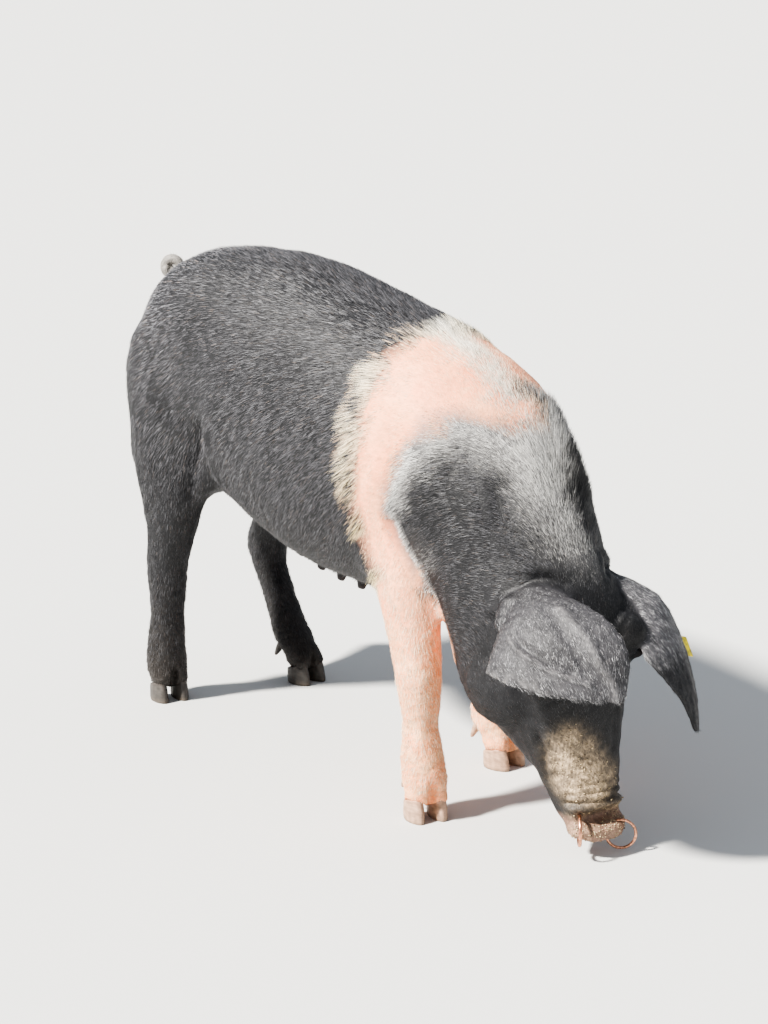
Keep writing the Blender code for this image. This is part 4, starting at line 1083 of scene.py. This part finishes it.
def grow_coat(settings):
    """Locks of bristles over the whole hide, in pieces by part of the body."""
    random = np.random.default_rng(SEED)
    faces = triangles_of(Hide.mesh)
    length, density, lift, cream, roan, fringe, crest = coat_fields(settings)
    way = unit(spread(lie_of(Hide.points, Hide.normals, Hide.weights), Hide.pairs, 6))
    lift = clear_lift(way, length, lift)
    uv = unwrap(Hide.points, Hide.labels)
    a, b, c = (Hide.points[faces[:, k]] for k in range(3))
    area = np.linalg.norm(np.cross(b - a, c - a), axis=1) / 2
    label = Hide.labels[faces[:, 0]]
    x = own((a + b + c) / 3)[:, 0]
    plans = (
        ("coat_rump", (label == 0) & (x < -0.16), 62000, 1.0),
        ("coat_flank", (label == 0) & (x >= -0.16) & (x < 0.05), 64000, 1.0),
        ("coat_back", (label == 0) & (x >= 0.05) & (x < 0.215), 52000, 1.0),
        ("coat_saddle", (label == 0) & (x >= 0.215), 62000, 0.9),
        ("coat_neck", label == 1, 62000, 0.95),
        ("coat_head", label == 2, 50000, 0.75),
        ("coat_forelegs", (label == 3) | (label == 4), 36000, 0.7),
        ("coat_hindlegs", (label == 5) | (label == 6), 60000, 0.9),
        ("coat_ears", (label == 7) | (label == 8), 44000, 0.62),
        ("coat_tail", label == 9, 1600, 0.7),
    )
    made = []
    for name, chosen, count, thick in plans:
        count = int(count * settings.amount)
        mine = faces[chosen]
        chance = area[chosen] * density[mine].mean(axis=1)
        pick = np.searchsorted(np.cumsum(chance) / chance.sum(), random.random(count))
        corner = mine[np.minimum(pick, len(mine) - 1)]
        root = np.sqrt(random.random(count))
        other = random.random(count)
        share = np.column_stack([1 - root, root * (1 - other), root * other])

        def mix(values):
            if values.ndim == 1:
                return np.einsum("ij,ij->i", values[corner], share)
            return np.einsum("ijk,ij->ik", values[corner], share)

        roots = mix(Hide.points)
        normals = unit(mix(Hide.normals))
        lie = mix(way)
        lie += np.cross(normals, lie) * random.normal(0, 0.13, count)[:, None]
        lie = unit(along_surface(lie, normals))
        streak = rumple(roots * (0.22, 1.0, 1.0), 0.0055, 73)
        long = mix(length) * random.uniform(0.62, 1.25, count)
        long *= 1 + 0.30 * mix(fringe) * np.clip(streak, -1.5, 1.5)
        wide = settings.width * thick * random.uniform(0.6, 1.3, count)
        wide *= 1 + 0.10 * mix(fringe) + 0.20 * mix(roan)
        over = slit_distance(roots + lie * (0.7 * long)[:, None])
        long *= 1 - 0.65 * smoothstep(0.0085, 0.0045, over)
        ear = np.array(EAR_PALE)[Hide.labels[corner[:, 0]]]
        shares = [mix(values) for values in (cream, roan, fringe, crest)]
        colour = bristle_colours(settings, roots, *shares, ear, streak, random)
        if name == "coat_head":
            dusty = soil_on(roots) * (random.random(count) < 0.7)
            colour = blend(colour, (0.68, 0.53, 0.35), 0.8 * dusty)
        if name == "coat_tail":
            colour = paint(random.uniform(0.5, 1.3, count), 0.42, 0.40, 0.37)
        if name == "coat_hindlegs":
            muddy = 0.25 * smoothstep(0.12, 0.03, roots[:, 2])
            colour = blend(colour, (0.16, 0.12, 0.08), muddy)
        place = mix(uv)
        whole = np.abs(uv[corner] - uv[corner[:, :1]]).max(axis=(1, 2)) < 0.1
        place = np.where(whole[:, None], place, uv[corner[:, 0]])
        mesh = lock_mesh(name, roots, normals, lie, long, wide, mix(lift), colour, place, random)
        made.append(new_piece(name, mesh, slot="coat"))
    return made


# ---- materials


def feed(tree, node, inputs):
    """Sets a node's inputs to values, or links them to the outputs of other nodes."""
    for name, value in inputs.items():
        if isinstance(value, bpy.types.NodeSocket):
            tree.links.new(value, node.inputs[name])
        else:
            node.inputs[name].default_value = value


def new_node(tree, kind, inputs=None, **settings):
    node = tree.nodes.new("ShaderNode" + kind)
    for name, value in settings.items():
        setattr(node, name, value)
    feed(tree, node, inputs or {})
    return node


def math_node(tree, operation, first, second):
    return new_node(tree, "Math", {0: first, 1: second}, operation=operation).outputs[0]


def object_place(tree):
    return new_node(tree, "TexCoord").outputs["Object"]


def grain_group():
    """Fine unevenness of a surface: a tinted colour and a height."""
    if "Fine grain" in bpy.data.node_groups:
        return bpy.data.node_groups["Fine grain"]
    tree = bpy.data.node_groups.new("Fine grain", "ShaderNodeTree")
    for name, kind, side in (
        ("Colour", "Color", "INPUT"), ("Cell scale", "Float", "INPUT"),
        ("Streak scale", "Float", "INPUT"), ("Tint", "Float", "INPUT"),
        ("Colour", "Color", "OUTPUT"), ("Height", "Float", "OUTPUT"),
    ):
        tree.interface.new_socket(name, in_out=side, socket_type="NodeSocket" + kind)
    given = tree.nodes.new("NodeGroupInput").outputs
    where = object_place(tree)
    cells = new_node(tree, "TexVoronoi", {"Vector": where, "Scale": given["Cell scale"]})
    drawn = new_node(tree, "Mapping", {"Vector": where, "Scale": (0.35, 1.0, 1.0)})
    streaks = new_node(tree, "TexNoise", {
        "Vector": drawn.outputs["Vector"], "Scale": given["Streak scale"], "Detail": 5.0,
        "Roughness": 0.62,
    }).outputs["Fac"]
    low = math_node(tree, "MULTIPLY", cells.outputs["Distance"], 0.45)
    centred = math_node(tree, "SUBTRACT", streaks, 0.5)
    strength = math_node(tree, "MULTIPLY", centred, given["Tint"])
    bright = math_node(tree, "ADD", math_node(tree, "MULTIPLY", strength, 2.0), 1.0)
    mixed = new_node(tree, "VectorMath", {0: given["Colour"], "Scale": bright}, operation="SCALE")
    feed(tree, tree.nodes.new("NodeGroupOutput"), {
        "Colour": mixed.outputs[0], "Height": math_node(tree, "ADD", low, streaks),
    })
    return tree


def bare_material(name, roughness, inputs=None):
    material = bpy.data.materials.new(name)
    material.use_nodes = True
    shader = material.node_tree.nodes["Principled BSDF"]
    feed(material.node_tree, shader, {"Roughness": roughness, **(inputs or {})})
    return material, material.node_tree, shader


def painted_material(name, attribute, roughness, inputs=None):
    """A material whose colour is painted on the mesh."""
    material, tree, shader = bare_material(name, roughness, inputs)
    painted = new_node(tree, "Attribute", attribute_name=attribute)
    feed(tree, shader, {"Base Color": painted.outputs["Color"]})
    return material


def bumped(tree, height, strength, distance):
    inputs = {"Strength": strength, "Distance": distance, "Height": height}
    return new_node(tree, "Bump", inputs).outputs["Normal"]


def grained_material(name, attribute, roughness, specular, cell, streak, bump, distance):
    """A surface with fine grain whose colour is painted on the mesh."""
    material, tree, shader = bare_material(name, roughness, {"Specular IOR Level": specular})
    painted = new_node(tree, "Attribute", attribute_name=attribute)
    grain = new_node(tree, "Group", {
        "Colour": painted.outputs["Color"], "Cell scale": cell, "Streak scale": streak,
        "Tint": 0.45,
    }, node_tree=grain_group())
    feed(tree, shader, {
        "Base Color": grain.outputs["Colour"],
        "Normal": bumped(tree, grain.outputs["Height"], bump, distance),
    })
    return material


def hide_material():
    return grained_material("pig_hide", "hide_colour", 0.55, 0.40, 330.0, 150.0, 0.6, 0.0016)


def bristle_material():
    return painted_material("pig_bristle", "bristle_colour", 0.52, {"Specular IOR Level": 0.45})


def horn_material():
    return grained_material("pig_horn", "horn_colour", 0.46, 0.50, 900.0, 180.0, 0.35, 0.0005)


def eye_material():
    if "pig_eye" in bpy.data.materials:
        return bpy.data.materials["pig_eye"]
    wet = {"Coat Weight": 1.0, "Coat Roughness": 0.03}
    return painted_material("pig_eye", "eye_colour", 0.16, wet)


def spotted(tree, scale, detail, low, high):
    """Noise, and the colour it gives between two stops of a place and a colour."""
    noise = new_node(
        tree, "TexNoise", {"Vector": object_place(tree), "Scale": scale, "Detail": detail}
    ).outputs["Fac"]
    ramp = new_node(tree, "ValToRGB", {"Fac": noise})
    for element, (position, colour) in zip(ramp.color_ramp.elements, (low, high)):
        element.position = position
        element.color = (*colour, 1)
    return noise, ramp.outputs["Color"]


def copper_material(settings):
    if "worn_copper" in bpy.data.materials:
        return bpy.data.materials["worn_copper"]
    material, tree, shader = bare_material("worn_copper", 0.34, {"Metallic": 1.0})
    dull = [value * 0.45 for value in settings.copper]
    noise, colour = spotted(tree, 260.0, 4.0, (0.35, dull), (0.62, settings.copper))
    feed(tree, shader, {"Base Color": colour, "Normal": bumped(tree, noise, 0.35, 0.0004)})
    return material


def tag_material(settings):
    material, tree, shader = bare_material("tag_plastic", 0.42)
    _, colour = spotted(tree, 120.0, 5.0, (0.30, (0.30, 0.22, 0.05)), (0.52, settings.tag))
    feed(tree, shader, {"Base Color": colour})
    return material


# ---- small pieces


def remeshed(name, nodes, voxel, rounds):
    """The named solids as one evenly meshed form with softer edges."""
    shape = bmesh.new()
    for node in nodes:
        shape.from_mesh(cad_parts[node].data)
    bmesh.ops.remove_doubles(shape, verts=shape.verts, dist=0.00001)
    mesh = evaluated(mesh_of(name, shape), ("REMESH", {"mode": "VOXEL", "voxel_size": voxel}))
    passes = np.full(len(mesh.vertices), rounds)
    set_points(mesh, relax(points_of(mesh), edges_of(mesh), passes))
    return mesh


def horn_rings(points, height):
    """Growth rings of the horn, from -1 to 1."""
    return np.sin(height * 1300 + 3.0 * rumple(points, 0.03, 51))


def hoof_piece(foot, settings):
    """The claws and dewclaws of one foot, smoothed, with their colour painted on."""
    nodes = [f"{kind}_{foot}_{place}" for kind in ("claw", "dewclaw") for place in "ab"]
    mesh = remeshed("horn", nodes, 0.0016, 5.0)
    points = points_of(mesh)
    z = points[:, 2].copy()
    rings = horn_rings(points, z) * 0.00010 + 0.0003 * rumple(points, 0.012, 52)
    raised = rings * smoothstep(0.003, 0.008, z) - 0.0002
    points = points + normals_of(mesh) * raised[:, None]
    points[:, 2] = np.where(points[:, 2] < 0.0012, 0.0, points[:, 2])
    set_points(mesh, points)
    base = np.array(settings.front if foot.startswith("fore") else settings.hind)
    tone = 1 + 0.12 * rumple(points, 0.014, 53) + 0.05 * horn_rings(points, z)
    colour = base * tone[:, None]
    colour = blend(colour, (0.16, 0.12, 0.085), 0.35 * smoothstep(0.012, 0.0, z))
    colour = blend(colour, base * (1.3, 1.0, 0.9), 0.3 * smoothstep(0.028, 0.040, z) * (z < 0.05))
    set_colour(mesh, "horn_colour", np.clip(colour, 0.01, 1))
    mesh.shade_smooth()
    return new_piece(f"hoof_{foot}", mesh, *nodes, slot="horn")


def eye_piece(side, settings):
    """An eyeball with its iris and pupil painted round the way it looks."""
    name = f"eye_{side}"
    low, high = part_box(name)
    centre = (low + high) / 2
    radius = (high - low).x / 2
    sign = 1 if side == "left" else -1
    shape = bmesh.new()
    bmesh.ops.create_uvsphere(shape, u_segments=48, v_segments=32, radius=radius * 0.985)
    outward = Vector((0.62, sign * 0.77, 0.05)).normalized()
    turn = outward.to_track_quat("Z", "Y").to_matrix().to_4x4()
    bmesh.ops.transform(shape, matrix=Matrix.Translation(centre) @ turn, verts=shape.verts)
    mesh = mesh_of(name + "_ball", shape)
    points = points_of(mesh)
    away = unit(points - np.array(centre))
    angle = np.arccos(np.clip(away @ np.array(outward), -1, 1))
    level = np.abs(away[:, 2] - outward.z)
    iris = smoothstep(settings.iris + 0.05, settings.iris - 0.05, angle)
    pupil = smoothstep(settings.pupil + 0.06, settings.pupil - 0.06, angle + 0.25 * level)
    white = np.tile((0.16, 0.085, 0.065), (len(points), 1))
    brown = paint(0.8 + 0.3 * rumple(points, 0.0016, 61), 0.050, 0.023, 0.012)
    colour = blend(blend(white, brown, iris), (0.004, 0.004, 0.005), pupil)
    set_colour(mesh, "eye_colour", colour)
    mesh.shade_smooth()
    mesh.materials.append(eye_material())
    return new_piece(name + "_ball", mesh, name, slot="eye")


def ring_piece(side, settings):
    """A copper hoop through the rim of the snout."""
    node = f"nose_ring_{side}"
    low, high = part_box(node)
    centre = (low + high) / 2
    size = high - low
    across = Vector((size.x, size.y * (1 if side == "left" else -1), 0)).normalized()
    up = Vector((0, 0, 1))
    radius = size.z / 2 - settings.wire
    shape = bmesh.new()
    bmesh.ops.create_circle(shape, segments=12, radius=settings.wire)
    if side == "right":
        bmesh.ops.transform(shape, matrix=Matrix.Diagonal((1.0, 1.25, 1.0, 1.0)), verts=shape.verts)
    normal = across.cross(up)
    turn = Matrix((across, normal, -up)).transposed().to_4x4()
    bmesh.ops.transform(
        shape, matrix=Matrix.Translation(centre + across * radius) @ turn, verts=shape.verts
    )
    bmesh.ops.spin(
        shape, geom=shape.verts[:] + shape.edges[:], cent=centre, axis=normal, angle=2 * math.pi,
        steps=56, use_merge=True,
    )
    bmesh.ops.remove_doubles(shape, verts=shape.verts, dist=0.00002)
    bmesh.ops.recalc_face_normals(shape, faces=shape.faces)
    mesh = mesh_of(f"ring_{side}", shape)
    mesh.shade_smooth()
    mesh.materials.append(copper_material(settings))
    return new_piece(f"ring_{side}", mesh, node, slot="copper")


def tag_piece(settings):
    """The ear tag: the solid's own plate and stud with softer edges."""
    mesh = remeshed("plate", ["ear_tag"], 0.0005, 4.0)
    mesh.name = "tag_plate"
    mesh.shade_smooth()
    mesh.materials.append(tag_material(settings))
    return new_piece("tag_plate", mesh, "ear_tag", slot="tag")


def crumb_piece(count):
    """Grains of sandy soil stuck to the muzzle and the disc."""
    random = np.random.default_rng(SEED + 5)
    head = np.where(Hide.weights[:, FLESH.index("head")] > 0.5)[0]
    chance = soil_on(Hide.points[head]) ** 2 + 1e-9
    pick = head[random.choice(len(head), count, p=chance / chance.sum())]
    grain = bmesh.new()
    bmesh.ops.create_icosphere(grain, subdivisions=1, radius=1.0)
    corner = np.array([vertex.co for vertex in grain.verts])
    faces = np.array([[vertex.index for vertex in face.verts] for face in grain.faces])
    grain.free()
    size = 0.0004 + 0.0011 * random.random(count) ** 3
    normals = Hide.normals[pick]
    jitter = along_surface(random.normal(0, 0.0020, (count, 3)), normals)
    centre = Hide.points[pick] + jitter + normals * (size * 0.35)[:, None]
    shape = 1 + random.uniform(-0.3, 0.3, (count, len(corner), 1))
    points = centre[:, None, :] + corner[None] * size[:, None, None] * shape
    corners = np.arange(count)[:, None, None] * len(corner) + faces[None]
    mesh = mesh_from("snout_crumbs", points, corners, np.arange(0, corners.size, 3))
    tone = random.uniform(0.55, 1.25, count)[:, None]
    warm = np.where(random.random(count)[:, None] < 0.7, (0.58, 0.47, 0.31), (0.30, 0.23, 0.155))
    set_colour(mesh, "crumb_colour", np.repeat(np.clip(warm * tone, 0, 1), len(corner), axis=0))
    mesh.materials.append(painted_material("dry_soil", "crumb_colour", 0.9))
    return new_piece("snout_crumbs", mesh, slot="hide")


# ---- operators


class PIG_OT_hide(bpy.types.Operator):
    """Lay one skin over the flesh, with its folds and markings"""

    bl_idname = "pig.hide"
    bl_label = "Hide"

    def execute(self, context):
        settings = context.scene.pig_hide
        mesh = build_hide(settings)
        mesh.name = "hide"
        colours = hide_colours(Hide.points, Hide.normals, Hide.weights, settings)
        set_colour(mesh, "hide_colour", colours)
        mesh.materials.clear()
        mesh.materials.append(hide_material())
        new_piece("hide", mesh, *FLESH, slot="hide")
        return {"FINISHED"}


class PIG_OT_coat(bpy.types.Operator):
    """Grow the bristles over the skin"""

    bl_idname = "pig.coat"
    bl_label = "Coat"

    def execute(self, context):
        if Hide.mesh is None:
            raise RuntimeError("the hide is made first")
        material = bristle_material()
        for piece in grow_coat(context.scene.pig_coat):
            piece.data.materials.append(material)
        return {"FINISHED"}


class PIG_OT_hooves(bpy.types.Operator):
    """Shape the claws and dewclaws of the four feet"""

    bl_idname = "pig.hooves"
    bl_label = "Hooves"

    def execute(self, context):
        material = horn_material()
        for foot in FEET:
            piece = hoof_piece(foot, context.scene.pig_horn)
            piece.data.materials.append(material)
        return {"FINISHED"}


class PIG_OT_eyes(bpy.types.Operator):
    """Make both eyeballs"""

    bl_idname = "pig.eyes"
    bl_label = "Eyes"

    def execute(self, context):
        for side in ("left", "right"):
            eye_piece(side, context.scene.pig_eyes)
        return {"FINISHED"}


class PIG_OT_worn(bpy.types.Operator):
    """Make the nose rings and the ear tag"""

    bl_idname = "pig.worn"
    bl_label = "Rings and Tag"

    def execute(self, context):
        settings = context.scene.pig_worn
        for side in ("left", "right"):
            ring_piece(side, settings)
        tag_piece(settings)
        return {"FINISHED"}


class PIG_OT_crumbs(bpy.types.Operator):
    """Scatter grains of soil over the muzzle"""

    bl_idname = "pig.crumbs"
    bl_label = "Crumbs"

    def execute(self, context):
        if Hide.mesh is None:
            raise RuntimeError("the hide is made first")
        crumb_piece(context.scene.pig_stage.crumbs)
        return {"FINISHED"}


class PIG_OT_stage(bpy.types.Operator):
    """Set the floor, the lights and the camera"""

    bl_idname = "pig.stage"
    bl_label = "Stage"

    def execute(self, context):
        settings = context.scene.pig_stage
        shape = bmesh.new()
        bmesh.ops.create_grid(shape, x_segments=1, y_segments=1, size=60.0)
        mesh = mesh_of("floor", shape)
        floor = bpy.data.objects.new("floor", mesh)
        context.scene.collection.objects.link(floor)
        material, _, shader = bare_material("studio_floor", 0.85)
        shader.inputs["Base Color"].default_value = (*settings.floor, 1)
        mesh.materials.append(material)

        world = bpy.data.worlds.new("room")
        world.use_nodes = True
        back = world.node_tree.nodes["Background"]
        back.inputs["Color"].default_value = (0.86, 0.92, 1.0, 1)
        back.inputs["Strength"].default_value = settings.fill
        context.scene.world = world
        context.scene.view_settings.look = "AgX - High Contrast"

        key = bpy.data.lights.new("key", "SUN")
        key.energy = settings.key
        key.angle = math.radians(6)
        key.color = (1.0, 0.965, 0.90)
        lamp = bpy.data.objects.new("key", key)
        context.scene.collection.objects.link(lamp)
        toward = Vector(SUN_AT).normalized()
        lamp.rotation_euler = toward.to_track_quat("Z", "Y").to_euler()

        lens = bpy.data.cameras.new("camera")
        lens.sensor_fit = "VERTICAL"
        lens.sensor_height = 36.0
        lens.lens = CAMERA_LENS
        lens.clip_end = 500.0
        camera = bpy.data.objects.new("camera", lens)
        context.scene.collection.objects.link(camera)
        camera.location = Vector(CAMERA_AT) + HERE
        look = Vector(CAMERA_LOOK)
        camera.rotation_euler = look.to_track_quat("-Z", "Y").to_euler()
        context.scene.camera = camera
        return {"FINISHED"}


class PIG_PT_panel(bpy.types.Panel):
    """Buttons that build the pig"""

    bl_label = "Grazing Pig"
    bl_idname = "PIG_PT_panel"
    bl_space_type = "VIEW_3D"
    bl_region_type = "UI"
    bl_category = "Pig"

    def draw(self, context):
        for operator in ORDER:
            self.layout.operator(operator)


ORDER = ("pig.stage", "pig.hide", "pig.coat", "pig.hooves", "pig.eyes", "pig.worn", "pig.crumbs")
GROUPS = (
    ("pig_hide", PigHide), ("pig_coat", PigCoat), ("pig_horn", PigHorn), ("pig_eyes", PigEyes),
    ("pig_worn", PigWorn), ("pig_stage", PigStage),
)
CLASSES = (
    PIG_OT_hide, PIG_OT_coat, PIG_OT_hooves, PIG_OT_eyes, PIG_OT_worn, PIG_OT_crumbs, PIG_OT_stage,
    PIG_PT_panel,
)


def register():
    for name, group in GROUPS:
        bpy.utils.register_class(group)
        setattr(bpy.types.Scene, name, PointerProperty(type=group))
    for each in CLASSES:
        bpy.utils.register_class(each)


def unregister():
    for each in reversed(CLASSES):
        bpy.utils.unregister_class(each)
    for name, group in reversed(GROUPS):
        delattr(bpy.types.Scene, name)
        bpy.utils.unregister_class(group)


def main():
    register()
    bpy.ops.pig.stage()
    bpy.ops.pig.hide()
    bpy.ops.pig.coat()
    bpy.ops.pig.hooves()
    bpy.ops.pig.eyes()
    bpy.ops.pig.worn()
    bpy.ops.pig.crumbs()


if __name__ == "__main__":
    main()
